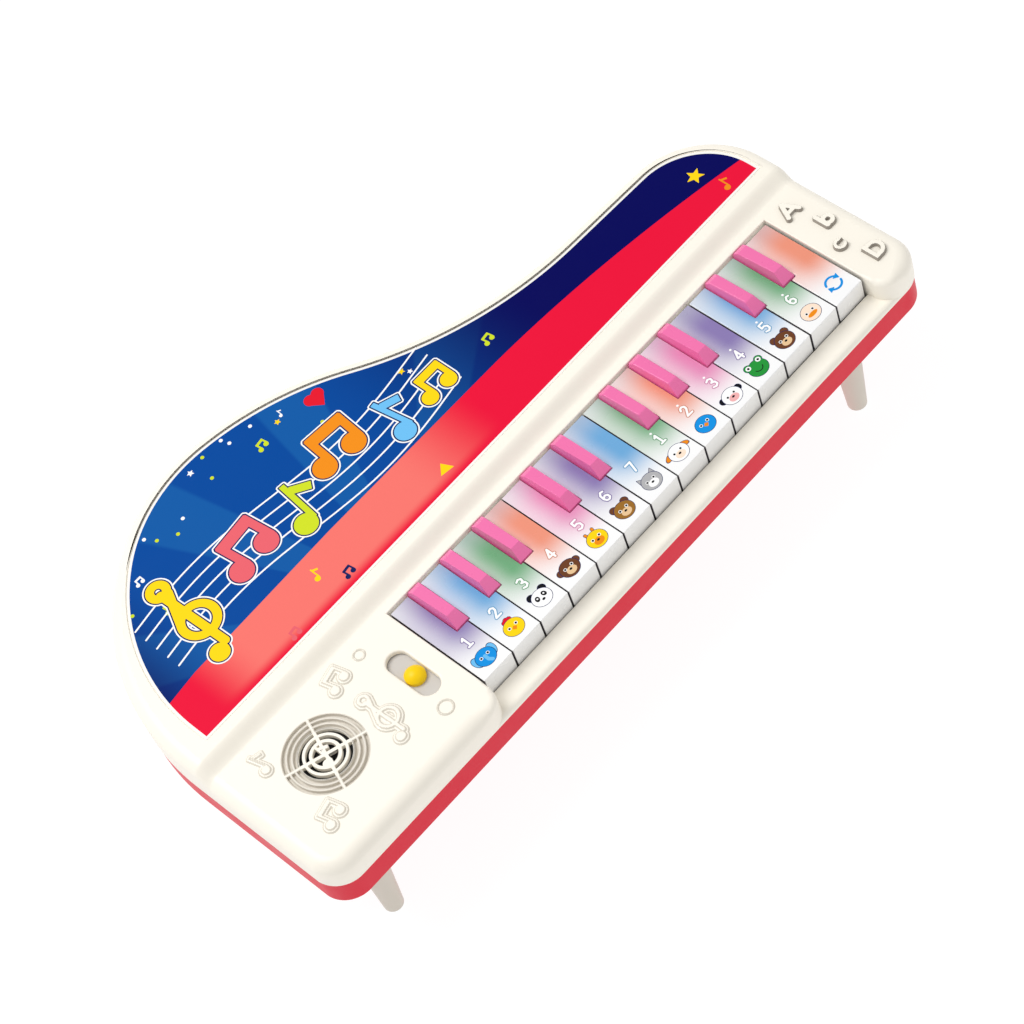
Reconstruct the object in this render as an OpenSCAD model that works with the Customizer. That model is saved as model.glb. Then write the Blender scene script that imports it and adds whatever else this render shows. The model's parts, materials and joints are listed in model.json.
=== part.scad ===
// Toy electronic keyboard shaped like a small grand piano, standing on three legs.
// The player sits on the -Y side. Z = 0 is the surface that the feet stand on.

/* [Body] */
// Width of the casing from side to side
body_width = 323; // [321:1:325]
// Depth of the casing from the front edge to the tail
body_depth = 172.6; // [171:0.2:174]
// Radius of the two front corners in plan
corner_radius = 12; // [10:1:14]
// Thickness of the casing walls
wall = 2; // [1.6:0.2:2.4]
// Width of the block to the left of the keys
left_block_width = 90; // [89:0.5:91]
// Radii of the tail's curve, from the left side round to the right
tail_radii = [100, 76.5, 131, 159.2, 35.2];
// Angles that those curves turn through
tail_angles = [64.3, 33.1, 29, 34.3];

/* [Heights] */
// Underside of the casing above the floor
leg_height = 40; // [36:1:46]
// Height of the red lower shell
lower_height = 12; // [11.5:0.5:12.5]
// Height of the cream upper shell at the side blocks
upper_height = 13; // [12.5:0.5:13.5]
// Rise of the rear lid above the side blocks
lid_rise = 4; // [3.5:0.5:4.5]
// Height of the ledge in front of the keys above the seam
ledge_height = 2.8; // [2.4:0.2:3.2]

/* [Keys] */
// Spacing of the white keys
key_pitch = 15; // [14.9:0.05:15.1]
// Gap between two white keys
key_gap = 0.6; // [0.5:0.1:0.8]
// Visible length of a white key
key_length = 47.8; // [46:0.2:49]
// Height of a white key's front face
key_height = 10.5; // [10:0.5:11]
// How far the front of a white key goes down
key_travel = 3; // [2:0.1:3]
// Centres of the raised keys, measured from the left end of the key field
raised_centres = [12.8, 29.9, 47.1, 73.7, 90.4, 117.2, 133.9, 150.6, 177.9, 194.3];
// Width of a raised key
raised_width = 6.2; // [5.8:0.1:6.4]
// Visible length of a raised key
raised_length = 25.3; // [24:0.1:26]
// Clearance between a raised key and the white keys beside it
raised_clearance = 0.4; // [0.3:0.1:0.6]

/* [Sound and power] */
// Radius of the speaker grille
grille_radius = 16; // [15:0.5:17]
// Radius of a battery
battery_radius = 7.1; // [7:0.05:7.2]
// Length of a battery without its nub
battery_length = 49.4; // [49:0.1:49.6]
// Travel of the slide switch to each side of its middle place
switch_travel = 6; // [5:0.5:6.5]

/* [Hidden] */
$fn = 48;
// Largest distance between a curved outline and its straight steps
curve_error = 0.015;
white_count = 14;

// Levels above the floor
z_base = leg_height;
z_seam = z_base + lower_height;
z_block = z_seam + upper_height;
z_lid = z_block + lid_rise;
z_ledge = z_seam + ledge_height;
z_keys = z_block - 1;
z_floor = z_base + wall;
z_roof = z_block - wall;

// Places in plan
body_left = -body_width / 2;
body_right = body_width / 2;
body_front = -body_depth / 2;
body_back = body_depth / 2;
keys_left = body_left + left_block_width;
keys_right = keys_left + white_count * key_pitch;
keys_front = body_front + 10.7;
keys_back = keys_front + key_length;
well_clearance = 0.6;
well_left = keys_left - well_clearance;
well_right = keys_right + well_clearance;
well_front = keys_front - well_clearance;
well_wall = 1.6;
block_corner = 7;

// Step between the side blocks and the lid
step_front = keys_back + 4.9;
step_width = 6;
step_facets = 6;

// Label on the lid
label_left = body_left + 12.1;
label_front = keys_back + 15.8;
label_thickness = 0.5;
label_recess = 0.8;
label_groove = 0.8;
label_lowest = label_front - 20;
label_radii = [89.5, 70.9, 125.4, 164.8, 29.6];
label_angles = [50.9, 46.5, 29, 34.3];
label_arc_start = keys_back + 23.3;
label_straight = 39.4;
label_right_end = 13;

// Pivot of the keys
pivot_y = 4;
pivot_z = z_keys - 4.7;
rod_radius = 1.5;
running_gap = 0.05;
hub_radius = 3.4;
tail_top = z_keys - 2.7;
tail_bottom = z_keys - 6.7;
key_skin = 1.8;
key_side = 1.2;
press_angle = asin(key_travel / (pivot_y - keys_front));
raised_front = keys_back - raised_length;
raised_rise = 4.2;
frame_left = keys_left - 7.5;
frame_right = keys_right + 7.5;
cheek = 3;

// Circuit board and contacts
board_bottom = z_floor + 3.4;
board_thickness = 1.6;
board_top = board_bottom + board_thickness;
board_left = keys_left + 2.5;
board_right = keys_right - 2.5;
board_front = keys_front + 15;
board_back = keys_back - 2;
dome_radius = 2.6;
dome_top = board_top + 3.3;
plunger_radius = 1.4;
plunger_bottom = dome_top + 2.2;
white_plunger_y = keys_front + 29.5;
raised_plunger_y = keys_front + 37.5;
stop_front = keys_front + 0.4;
stop_depth = 3;
stop_top = z_keys - key_height - key_travel - 0.4;

// Slide switch
switch_at = [keys_left - 12.75, keys_front + 23];
slot_radius = 4.6;
slot_half = 7.6;
knob_radius = 4.1;
knob_rest = -0.6;
stem_width = 2.6;
shield_top = z_roof - 0.4;
shield_thickness = 1;
shield_size = [11, 2 * (slot_half + slot_radius) + 2 * switch_travel + 0.6];

// Speaker
speaker_at = [keys_left - 55.2, keys_front + 26.1];
speaker_radius = 17;
speaker_seat = z_roof - 2.7;
clamp_ear = 21.5;

// Legs: left front, right front and tail
leg_places = [[keys_left - 69.3, keys_front + 0.9], [keys_right - 15, keys_front + 0.9], [-72, 71]];
leg_top_radius = 6;
leg_foot_radius = 3.9;
plug_radius = 4;
plug_height = 6;
pad_radius = 2.9;
pad_height = 1;
pad_show = 0.4;

// Casing posts and screws
lid_posts = [[-152, -8], [-124, 50], [-22, 55], [60, 22], [151.5, -5]];
block_posts = [[-152.5, -77.5], [152, -77.5]];
post_radius = 4;
screw_radius = 1.4;
screw_head_radius = 2.8;
screw_seat = z_base + 6;
board_posts = [for (x = [-60, 33.5, 127]) for (y = [board_front + 4, board_back - 3]) [x, y]];

// Battery bay
bay_centre = [-80, 36];
bay_size = [59, 46.5];
bay_wall = 2.5;
bay_roof = z_base + 18.6;
door_size = [62, 49.5];
door_gap = 0.3;
door_thickness = 1.8;
tab_length = 9;
tab_width = 11;
cell_pitch = 15;
cell_z = z_base + 10.4;
contact_thickness = 0.5;

cream = [0.98, 0.96, 0.91];
red = [0.89, 0.16, 0.27];
pink = [0.95, 0.42, 0.66];
leg_grey = [0.83, 0.80, 0.74];
steel = [0.75, 0.76, 0.78];

function numbered(prefix, i) = str(prefix, i < 9 ? "0" : "", i + 1);
function white_name(i) = numbered("white_key_", i);
function raised_name(i) = numbered("pink_key_", i);

// ---------------------------------------------------------------- outlines

// A path is a list of curves [radius, angle] and straight lengths [0, length].
// A positive radius turns right and a negative one turns left. A place on it is [point, heading].
function along(heading) = [cos(heading), sin(heading)];
function across(heading) = [sin(heading), -cos(heading)];
function turned(piece) = sign(piece[0]) * piece[1];
function moved_on(place, piece) =
    let (heading = place[1] - turned(piece))
    piece[0] == 0
        ? [place[0] + piece[1] * along(place[1]), place[1]]
        : [place[0] + piece[0] * (across(place[1]) - across(heading)), heading];
function places(path, start) =
    len(path) == 0
        ? [start]
        : concat([start], places([for (k = [1 : 1 : len(path) - 1]) path[k]], moved_on(start, path[0])));
function last(list) = list[len(list) - 1];

// Points of one curve from its start up to its end, or the start of a straight length
function curve_points(piece, place, inset) =
    piece[0] == 0
        ? [place[0] + inset * across(place[1])]
        : let (
            centre = place[0] + piece[0] * across(place[1]),
            steps = ceil(piece[1] / (2 * acos(1 - curve_error / abs(piece[0]))))
        )
        [for (k = [0 : steps - 1])
            let (heading = place[1] - turned(piece) * k / steps)
            centre - (piece[0] - inset) * across(heading)];

// Area inside a path that runs clockwise, moved inwards by inset
module path_area(path, start, inset) {
    stops = places(path, start);
    clockwise = [for (k = [0 : len(path) - 1]) each curve_points(path[k], stops[k], inset)];
    polygon([for (k = [len(clockwise) - 1 : -1 : 0]) clockwise[k]]);
}

// Outline of the casing
tail_start = [body_left, body_back - tail_radii[1] - (tail_radii[0] - tail_radii[1]) * sin(tail_angles[0])];
tail_path = [
    [tail_radii[0], tail_angles[0]],
    [tail_radii[1], tail_angles[1]],
    [tail_radii[2], tail_angles[2]],
    [-tail_radii[3], tail_angles[3]]
];
tail_end = last(places(tail_path, [tail_start, 90]));
shoulder = tail_radii[4];
shoulder_line = (body_right - tail_end[0][0] - shoulder * (sin(tail_end[1]) + 1)) / cos(tail_end[1]);
shoulder_path = [[0, shoulder_line], [shoulder, tail_end[1] + 90]];
shoulder_end = last(places(shoulder_path, tail_end));
body_path = concat(tail_path, shoulder_path, [
    [0, shoulder_end[0][1] - body_front - corner_radius],
    [corner_radius, 90],
    [0, body_width - 2 * corner_radius],
    [corner_radius, 90]
]);

module body_area(inset = 0) {
    path_area(body_path, [tail_start, 90], inset);
}

// Outline of the label, which has two sharp front corners
label_path = [
    [0, label_arc_start - label_lowest],
    [label_radii[0], label_angles[0]],
    [label_radii[1], label_angles[1]],
    [label_radii[2], label_angles[2]],
    [-label_radii[3], label_angles[3]],
    [0, label_straight],
    [label_radii[4], 90 - label_angles[0] - label_angles[1] - label_angles[2] + label_angles[3] + 90],
    [0, label_right_end],
    [0, label_right_end]
];

module label_block(inset, low, high) {
    intersection() {
        translate([0, 0, low])
            linear_extrude(high - low)
                path_area(label_path, [[label_left, label_lowest], 90], inset);
        box([body_left, label_front + inset, low - 1], [body_right, body_back, high + 1]);
    }
}

// ---------------------------------------------------------------- small helpers

// Extrudes an outline of [y, z] points along X from x_low to x_high
module along_x(x_low, x_high) {
    translate([x_low, 0, 0])
        rotate([90, 0, 90])
            linear_extrude(x_high - x_low)
                children();
}

module box(low, high) {
    translate(low)
        cube(high - low);
}

module rod_along_x(x_low, x_high, y, z, radius) {
    translate([x_low, y, z])
        rotate([0, 90, 0])
            cylinder(r = radius, h = x_high - x_low);
}

module stadium(half_length, radius) {
    square([2 * radius, 2 * half_length], center = true);
    for (side = [-1, 1])
        translate([0, side * half_length])
            circle(r = radius);
}

module ring_2d(outer, inner) {
    difference() {
        circle(r = outer);
        circle(r = inner);
    }
}

// Screw with its head down, its seat at the origin and a cross recess
module screw(head_radius, head_height, shaft_radius, shaft_length) {
    recess = head_radius * 1.3;
    difference() {
        translate([0, 0, -head_height])
            cylinder(r = head_radius, h = head_height);
        for (turn = [0, 90])
            rotate(turn)
                translate([-recess / 2, -0.3, -head_height - 1])
                    cube([recess, 0.6, 1.8]);
    }
    cylinder(r = shaft_radius, h = shaft_length);
}

// ---------------------------------------------------------------- raised decorations

// Notes and clef: the height of the sign itself, and the width and height of the low border round it
sign_rise = 1.0;
sign_border = 1.1;
sign_border_rise = 0.5;
// Lean of the notes to the left, in degrees
note_lean = 14;

// Rectangle from low to high, wider by grow all round
module plate_2d(low, high, grow = 0) {
    translate(low - [grow, grow])
        square(high - low + 2 * [grow, grow]);
}

// Each sign below is drawn wider by grow all round, for the low border it stands on
module single_note(size, grow = 0) {
    translate([-0.22 * size, -0.35 * size])
        circle(r = 0.2 * size + grow);
    plate_2d([-0.1 * size, -0.35 * size], [0, 0.5 * size], grow);
    translate([-0.06 * size, 0.27 * size])
        rotate(-30)
            plate_2d([0, 0], [0.36 * size, 0.15 * size], grow);
}

module beamed_notes(size, grow = 0) {
    for (side = [-1, 1]) {
        translate([side * 0.28 * size - 0.13 * size, -0.27 * size])
            circle(r = 0.19 * size + grow);
        translate([side * 0.28 * size, 0])
            plate_2d([-0.065 * size, -0.27 * size], [0.065 * size, 0.3 * size], grow);
    }
    plate_2d([-0.33 * size, 0.12 * size], [0.33 * size, 0.32 * size], grow);
}

module treble_clef(size, grow = 0) {
    stroke = 0.07 * size;
    belly = 0.14 * size;
    head = 0.065 * size;
    rotate(2)
        plate_2d([-stroke / 2, -0.42 * size], [stroke / 2, 0.3 * size], grow);
    translate([0.02 * size, -0.11 * size])
        ring_2d(belly + stroke / 2 + grow, belly - stroke / 2 - grow);
    translate([0, 0.32 * size])
        ring_2d(head + stroke / 2 + grow, max(head - stroke / 2 - grow, 0));
    translate([-0.1 * size, -0.04 * size])
        rotate(-26)
            plate_2d([-stroke / 2, 0], [stroke / 2, 0.34 * size], grow);
    translate([-0.08 * size, -0.44 * size])
        circle(r = 0.08 * size + grow);
}

// Letters, each standing on the X axis with the height given
module letter_a(height) {
    stroke = 0.27 * height;
    difference() {
        polygon([[-0.5 * height, 0], [-0.5 * stroke, height], [0.5 * stroke, height], [0.5 * height, 0]]);
        polygon([[-0.5 * height + stroke, -1], [0, -1], [0.5 * height - stroke, -1],
                 [0.2 * height, 0.24 * height], [-0.2 * height, 0.24 * height]]);
        polygon([[-0.13 * height, 0.44 * height], [0, 0.76 * height], [0.13 * height, 0.44 * height]]);
    }
}

module letter_b(height) {
    stroke = 0.26 * height;
    bowl = 0.33 * height;
    translate([-0.35 * height, 0])
        square([stroke, height]);
    translate([-0.02 * height, bowl])
        ring_2d(bowl, bowl - stroke);
}

module letter_c(height) {
    stroke = 0.28 * height;
    difference() {
        translate([0, height / 2])
            ring_2d(height / 2, height / 2 - stroke);
        translate([0.12 * height, 0.3 * height])
            square([height, 0.4 * height]);
    }
}

module letter_d(height) {
    stroke = 0.26 * height;
    half = height / 2;
    difference() {
        union() {
            translate([-0.4 * height, 0])
                square([0.4 * height, height]);
            translate([0, half])
                circle(r = half);
        }
        translate([-0.4 * height + stroke, stroke])
            square([0.4 * height - stroke, height - 2 * stroke]);
        translate([0, half])
            circle(r = half - stroke);
        translate([-1.4 * height, -1])
            square([height, height + 2]);
    }
}

module at_keys(x, y) {
    translate([keys_left + x, keys_front + y])
        children();
}

module block_decorations(grow = 0) {
    at_keys(-31.2, 45) rotate(note_lean) beamed_notes(11.4, grow);
    at_keys(-70.5, 8.4) rotate(note_lean) beamed_notes(11.4, grow);
    at_keys(-71.6, 42.8) rotate(note_lean) single_note(10, grow);
    at_keys(-31.8, 20.6) treble_clef(28, grow);
}

module block_rings() {
    at_keys(-19.1, 44.4) ring_2d(2.6, 1.7);
    at_keys(-15.9, 3.5) ring_2d(3.4, 2.5);
}

module block_letters() {
    at_keys(218.7, 39) letter_a(8.5);
    at_keys(223.5, 24.6) letter_b(8.5);
    at_keys(217.2, 13.4) letter_c(5.6);
    at_keys(222.6, -0.2) letter_d(8.2);
}

// ---------------------------------------------------------------- upper shell

// Side view of the upper shell's top, lowered by drop, from the front to the back
module top_profile(drop) {
    low = z_seam - 1;
    polygon(concat(
        [[body_front - 1, low], [body_front - 1, z_block - drop]],
        [for (k = [0 : step_facets])
            let (turn = 90 * k / step_facets)
            [step_front + drop + step_width * (1 - cos(turn)), z_block - drop + lid_rise * sin(turn)]],
        [[body_back + 1, z_lid - drop], [body_back + 1, low]]
    ));
}

module shell_block(inset, drop, bottom) {
    intersection() {
        translate([0, 0, bottom])
            linear_extrude(z_lid + 1 - bottom)
                body_area(inset);
        along_x(body_left - 1, body_right + 1)
            top_profile(drop);
    }
}

// Plan of the opening over the ledge, whose ends curve outwards at the front
module ledge_area() {
    depth = well_front - body_front + 1;
    translate([well_left, body_front - 1])
        square([well_right - well_left, depth + 1]);
    for (side = [0, 1])
        translate([side ? well_right : well_left, body_front])
            mirror([side ? 0 : 1, 0])
                difference() {
                    translate([-0.1, -1])
                        square([block_corner + 0.1, block_corner + 1]);
                    translate([block_corner, block_corner])
                        circle(r = block_corner);
                }
}

module key_well_walls() {
    z_low = z_seam - 3.5;
    for (x = [well_left - well_wall, well_right])
        box([x, well_front - well_wall, z_low], [x + well_wall, keys_back + well_wall, z_block - 0.5]);
    box([well_left - well_wall, well_front - well_wall, z_low],
        [well_right + well_wall, well_front, z_ledge - 0.5]);
    box([well_left, keys_back + 0.5, tail_top + 1], [well_right, keys_back + 0.5 + well_wall, z_block - 0.5]);
}

module grille_spokes() {
    spoke = 1.3;
    for (turn = [0, 90])
        rotate(turn)
            square([2 * grille_radius + 1, spoke], center = true);
}

module grille_cuts() {
    translate([speaker_at[0], speaker_at[1], 0])
        rotate(-20) {
            translate([0, 0, z_block - 0.8])
                linear_extrude(2)
                    difference() {
                        for (radius = [grille_radius, 0.87 * grille_radius, 0.74 * grille_radius])
                            ring_2d(radius, radius - 1.1);
                        grille_spokes();
                    }
            translate([0, 0, z_roof - 1])
                linear_extrude(wall + 2)
                    difference() {
                        union() {
                            ring_2d(0.63 * grille_radius, 0.54 * grille_radius);
                            ring_2d(0.47 * grille_radius, 0.38 * grille_radius);
                            circle(r = 0.3 * grille_radius);
                        }
                        grille_spokes();
                        rotate(20)
                            single_note(10);
                    }
        }
}

module upper_posts() {
    for (place = lid_posts)
        translate([place[0], place[1], z_seam])
            cylinder(r = post_radius - 0.5, h = z_lid - wall - z_seam + 0.5);
    for (place = block_posts)
        translate([place[0], place[1], z_seam])
            cylinder(r = post_radius - 0.5, h = z_roof - z_seam + 0.5);
    for (side = [-1, 1])
        translate([speaker_at[0] + side * clamp_ear, speaker_at[1], speaker_seat])
            cylinder(r = 2.5, h = z_roof - speaker_seat + 0.5);
    translate([speaker_at[0], speaker_at[1], speaker_seat])
        linear_extrude(z_roof - speaker_seat + 0.5)
            ring_2d(speaker_radius + 1.7, speaker_radius + 0.3);
}

module upper_post_holes() {
    for (place = concat(lid_posts, block_posts))
        translate([place[0], place[1], z_seam - 1])
            cylinder(r = screw_radius + running_gap, h = 9);
    for (side = [-1, 1])
        translate([speaker_at[0] + side * clamp_ear, speaker_at[1], speaker_seat - 1])
            cylinder(r = 0.9, h = 3.4);
}

module upper_shell() {
    color(cream) {
        difference() {
            union() {
                difference() {
                    shell_block(0, 0, z_seam);
                    difference() {
                        shell_block(wall, wall, z_seam - 1);
                        translate([0, 0, z_seam - 2])
                            linear_extrude(ledge_height + 2)
                                intersection() {
                                    body_area(0);
                                    translate([well_left - block_corner, body_front - 1])
                                        square([well_right - well_left + 2 * block_corner,
                                                well_front - body_front + 1]);
                                }
                    }
                    translate([0, 0, z_ledge])
                        linear_extrude(z_lid)
                            ledge_area();
                }
                // Inner faces of the blocks behind the rounded ends of the ledge
                intersection() {
                    translate([0, 0, z_seam])
                        linear_extrude(z_block - z_seam)
                            difference() {
                                translate([well_left - block_corner - 2, body_front])
                                    square([well_right - well_left + 2 * block_corner + 4, block_corner + 1]);
                                ledge_area();
                            }
                    translate([0, 0, z_seam])
                        linear_extrude(upper_height)
                            body_area(0);
                    union() {
                        box([well_left - block_corner - 2, body_front, z_seam],
                            [well_left, body_front + block_corner + 1, z_block]);
                        box([well_right, body_front, z_seam],
                            [well_right + block_corner + 2, body_front + block_corner + 1, z_block]);
                    }
                }
                key_well_walls();
                upper_posts();
                // Rails that guide the switch's shield
                for (side = [-1, 1])
                    translate([switch_at[0] + side * (shield_size[0] / 2 + 1), switch_at[1], z_roof - 0.8])
                        cube([1.2, shield_size[1], 3.2], center = true);
            }
            // Opening for the keys
            box([well_left, well_front, z_base], [well_right, keys_back + 0.5, z_lid + 1]);
            // Label recess
            label_block(-label_groove, z_lid - label_recess, z_lid + 1);
            // Switch slot
            translate([switch_at[0], switch_at[1], z_roof - 1])
                linear_extrude(wall + 2)
                    stadium(slot_half, slot_radius);
            grille_cuts();
            upper_post_holes();
        }
        translate([0, 0, z_block - 0.2])
            linear_extrude(sign_border_rise + 0.2)
                block_decorations(sign_border);
        translate([0, 0, z_block - 0.2])
            linear_extrude(sign_rise + 0.2)
                block_decorations();
        translate([0, 0, z_block - 0.2])
            linear_extrude(sign_border_rise + 0.2)
                block_rings();
        translate([0, 0, z_block - 0.2])
            linear_extrude(1.2)
                block_letters();
    }
}

module lid_label() {
    color([0.1, 0.15, 0.5])
        label_block(0, z_lid - label_recess, z_lid - label_recess + label_thickness);
}

// ---------------------------------------------------------------- lower shell

module bay_box(size, z_low, z_high) {
    translate([bay_centre[0], bay_centre[1], (z_low + z_high) / 2])
        cube([size[0], size[1], z_high - z_low], center = true);
}

// Plan of the battery door, larger by grow all round
module door_area(grow = 0) {
    translate(bay_centre)
        square(door_size + 2 * [grow, grow], center = true);
    translate([bay_centre[0] - door_size[0] / 2 - tab_length - grow, bay_centre[1] - tab_width / 2 - grow])
        square([tab_length + 1, tab_width + 2 * grow]);
}

door_screw_at = [bay_centre[0] - door_size[0] / 2 - tab_length / 2, bay_centre[1]];

module lower_shell() {
    lower_inset = 0.4;
    color(red)
        difference() {
            union() {
                difference() {
                    translate([0, 0, z_base])
                        linear_extrude(lower_height)
                            body_area(lower_inset);
                    translate([0, 0, z_floor])
                        linear_extrude(lower_height)
                            body_area(wall + lower_inset);
                }
                for (place = concat(lid_posts, block_posts))
                    translate([place[0], place[1], z_base])
                        cylinder(r = post_radius, h = lower_height);
                for (place = leg_places)
                    translate([place[0], place[1], z_base])
                        cylinder(r = plug_radius + 3, h = plug_height + 2);
                for (place = board_posts)
                    translate([place[0], place[1], z_base])
                        cylinder(r = 2.5, h = board_bottom - z_base);
                box([keys_left + 0.5, stop_front, z_base], [keys_right - 0.5, stop_front + stop_depth, stop_top - 1.1]);
                bay_box(bay_size + 2 * [bay_wall, bay_wall], z_floor - 0.5, bay_roof + 1.5);
                translate([0, 0, z_floor - 0.5])
                    linear_extrude(2)
                        door_area(1.5);
                translate([door_screw_at[0], door_screw_at[1], z_floor])
                    cylinder(r = 4, h = 8);
            }
            bay_box(bay_size, z_base - 1, bay_roof);
            translate([0, 0, z_base - 1])
                linear_extrude(door_thickness + 1.2)
                    door_area(door_gap);
            translate([door_screw_at[0], door_screw_at[1], z_base])
                cylinder(r = screw_radius + running_gap, h = 9);
            for (place = concat(lid_posts, block_posts))
                translate([place[0], place[1], z_base - 1]) {
                    cylinder(r = screw_radius + 0.3, h = lower_height + 2);
                    cylinder(r = screw_head_radius + 0.3, h = screw_seat - z_base + 1);
                }
            for (place = leg_places)
                translate([place[0], place[1], z_base - 1])
                    cylinder(r = plug_radius + running_gap, h = plug_height + 1.4);
            for (place = board_posts)
                translate([place[0], place[1], z_floor])
                    cylinder(r = 1 + running_gap, h = board_bottom);
        }
}

// ---------------------------------------------------------------- legs

module leg(place) {
    edge = 0.6;
    color(leg_grey)
        translate([place[0], place[1], 0])
            difference() {
                rotate_extrude()
                    polygon([
                        [0, pad_show], [leg_foot_radius - edge, pad_show], [leg_foot_radius, pad_show + edge],
                        [leg_top_radius, z_base], [plug_radius, z_base], [plug_radius, z_base + plug_height],
                        [0, z_base + plug_height]
                    ]);
                translate([0, 0, -1])
                    cylinder(r = pad_radius, h = pad_height + 1);
            }
}

module foot_pads() {
    color([0.45, 0.44, 0.42])
        for (place = leg_places)
            translate([place[0], place[1], 0])
                cylinder(r = pad_radius, h = pad_height);
}

// ---------------------------------------------------------------- keys

function white_low(i) = keys_left + i * key_pitch + key_gap / 2;
function white_high(i) = keys_left + (i + 1) * key_pitch - key_gap / 2;
function raised_low(i) = keys_left + raised_centres[i] - raised_width / 2;
function raised_high(i) = keys_left + raised_centres[i] + raised_width / 2;
function raised_over(x) = [for (i = [0 : len(raised_centres) - 1])
    if (raised_low(i) - raised_clearance < x && raised_high(i) + raised_clearance > x) i];

// Sides of a white key beside the raised keys
function tail_low(i) = let (over = raised_over(white_low(i)))
    len(over) == 0 ? white_low(i) : raised_high(over[0]) + raised_clearance;
function tail_high(i) = let (over = raised_over(white_high(i)))
    len(over) == 0 ? white_high(i) : raised_low(over[0]) - raised_clearance;

module key_hub(x_low, x_high) {
    rod_along_x(x_low, x_high, pivot_y, pivot_z, hub_radius);
    box([x_low, keys_back - 2, tail_bottom], [x_high, pivot_y, tail_top]);
}

module key_hub_hole(x_low, x_high) {
    rod_along_x(x_low - 1, x_high + 1, pivot_y, pivot_z, rod_radius + running_gap);
}

module white_key(i) {
    low = white_low(i);
    high = white_high(i);
    rear_low = tail_low(i);
    rear_high = tail_high(i);
    notch = raised_front - 0.5;
    rear = keys_back - 0.5;
    bottom = z_keys - key_height;
    rear_bottom = bottom + 2.5;
    centre = (rear_low + rear_high) / 2;
    color("white")
        difference() {
            union() {
                difference() {
                    union() {
                        box([low, keys_front, bottom], [high, notch, z_keys]);
                        box([rear_low, notch - 1, rear_bottom], [rear_high, rear, z_keys]);
                    }
                    box([low + key_side, keys_front + 1.5, bottom - 1],
                        [high - key_side, notch - key_side, z_keys - key_skin]);
                    box([rear_low + key_side, notch - 2, bottom - 1],
                        [rear_high - key_side, rear - 1.5, z_keys - key_skin]);
                }
                key_hub(rear_low, rear_high);
                translate([centre, white_plunger_y, plunger_bottom])
                    cylinder(r = plunger_radius, h = z_keys - 1 - plunger_bottom);
            }
            key_hub_hole(rear_low, rear_high);
        }
}

module raised_key(i) {
    low = raised_low(i);
    high = raised_high(i);
    rear = keys_back - 0.5;
    bottom = z_keys - 8;
    top = z_keys + raised_rise;
    slope = 1;
    color(pink)
        difference() {
            union() {
                intersection() {
                    along_x(low, high)
                        polygon([
                            [raised_front, bottom], [raised_front, z_keys + 0.3], [raised_front + 4.6, top],
                            [rear - 2.2, top - 1.2], [rear, top - 2.6], [rear, bottom]
                        ]);
                    translate([(low + high) / 2, rear + 1, 0])
                        rotate([90, 0, 0])
                            linear_extrude(raised_length + 3)
                                polygon([
                                    [-raised_width / 2, bottom - 1], [-raised_width / 2, z_keys + 0.3],
                                    [-raised_width / 2 + slope, top + 0.2], [raised_width / 2 - slope, top + 0.2],
                                    [raised_width / 2, z_keys + 0.3], [raised_width / 2, bottom - 1]
                                ]);
                }
                key_hub(low, high);
                translate([(low + high) / 2, raised_plunger_y, plunger_bottom])
                    cylinder(r = plunger_radius, h = z_keys - 2 - plunger_bottom);
            }
            key_hub_hole(low, high);
        }
}

module key_rod() {
    color(steel)
        rod_along_x(frame_left, frame_right, pivot_y, pivot_z, rod_radius);
}

// Channel with a cheek at each end that holds the rod, and a rail under the hubs
module key_frame() {
    color("dimgray")
        difference() {
            union() {
                box([frame_left, pivot_y - 5, z_floor], [frame_right, pivot_y + 5, z_floor + 1.6]);
                for (x = [frame_left, frame_right - cheek])
                    box([x, pivot_y - 4, z_floor], [x + cheek, pivot_y + 4, pivot_z + 4]);
                box([frame_left, pivot_y - 1.5, z_floor],
                    [frame_right, pivot_y + 1.5, pivot_z - hub_radius - 0.4]);
            }
            rod_along_x(frame_left - 1, frame_right + 1, pivot_y, pivot_z, rod_radius + 0.02);
        }
}

module key_stop_felt() {
    color("darkolivegreen")
        box([keys_left + 0.5, stop_front, stop_top - 1.1], [keys_right - 0.5, stop_front + stop_depth, stop_top]);
}

// ---------------------------------------------------------------- electronics

module circuit_board() {
    color("seagreen")
        difference() {
            box([board_left, board_front, board_bottom], [board_right, board_back, board_top]);
            for (place = board_posts)
                translate([place[0], place[1], board_bottom - 1])
                    cylinder(r = 1.3, h = board_thickness + 2);
        }
}

module board_screws() {
    color(steel)
        for (place = board_posts)
            translate([place[0], place[1], board_top])
                rotate([180, 0, 0])
                    screw(2.2, 1.4, 1, 4.2);
}

module sound_chip() {
    color([0.15, 0.15, 0.16])
        box([-20, board_back - 13, board_top], [-6, board_back - 3, board_top + 1.8]);
}

module capacitors() {
    color([0.2, 0.22, 0.4])
        for (x = [-33, 10.5])
            translate([x, board_back - 4, board_top])
                cylinder(r = 2.5, h = 4.5);
}

module contact_domes() {
    color([0.7, 0.7, 0.72]) {
        for (i = [0 : white_count - 1])
            translate([(tail_low(i) + tail_high(i)) / 2, white_plunger_y, board_top])
                cylinder(r1 = dome_radius, r2 = dome_radius - 0.8, h = dome_top - board_top);
        for (i = [0 : len(raised_centres) - 1])
            translate([keys_left + raised_centres[i], raised_plunger_y, board_top])
                cylinder(r1 = dome_radius, r2 = dome_radius - 0.8, h = dome_top - board_top);
    }
}

// ---------------------------------------------------------------- switch

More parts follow.
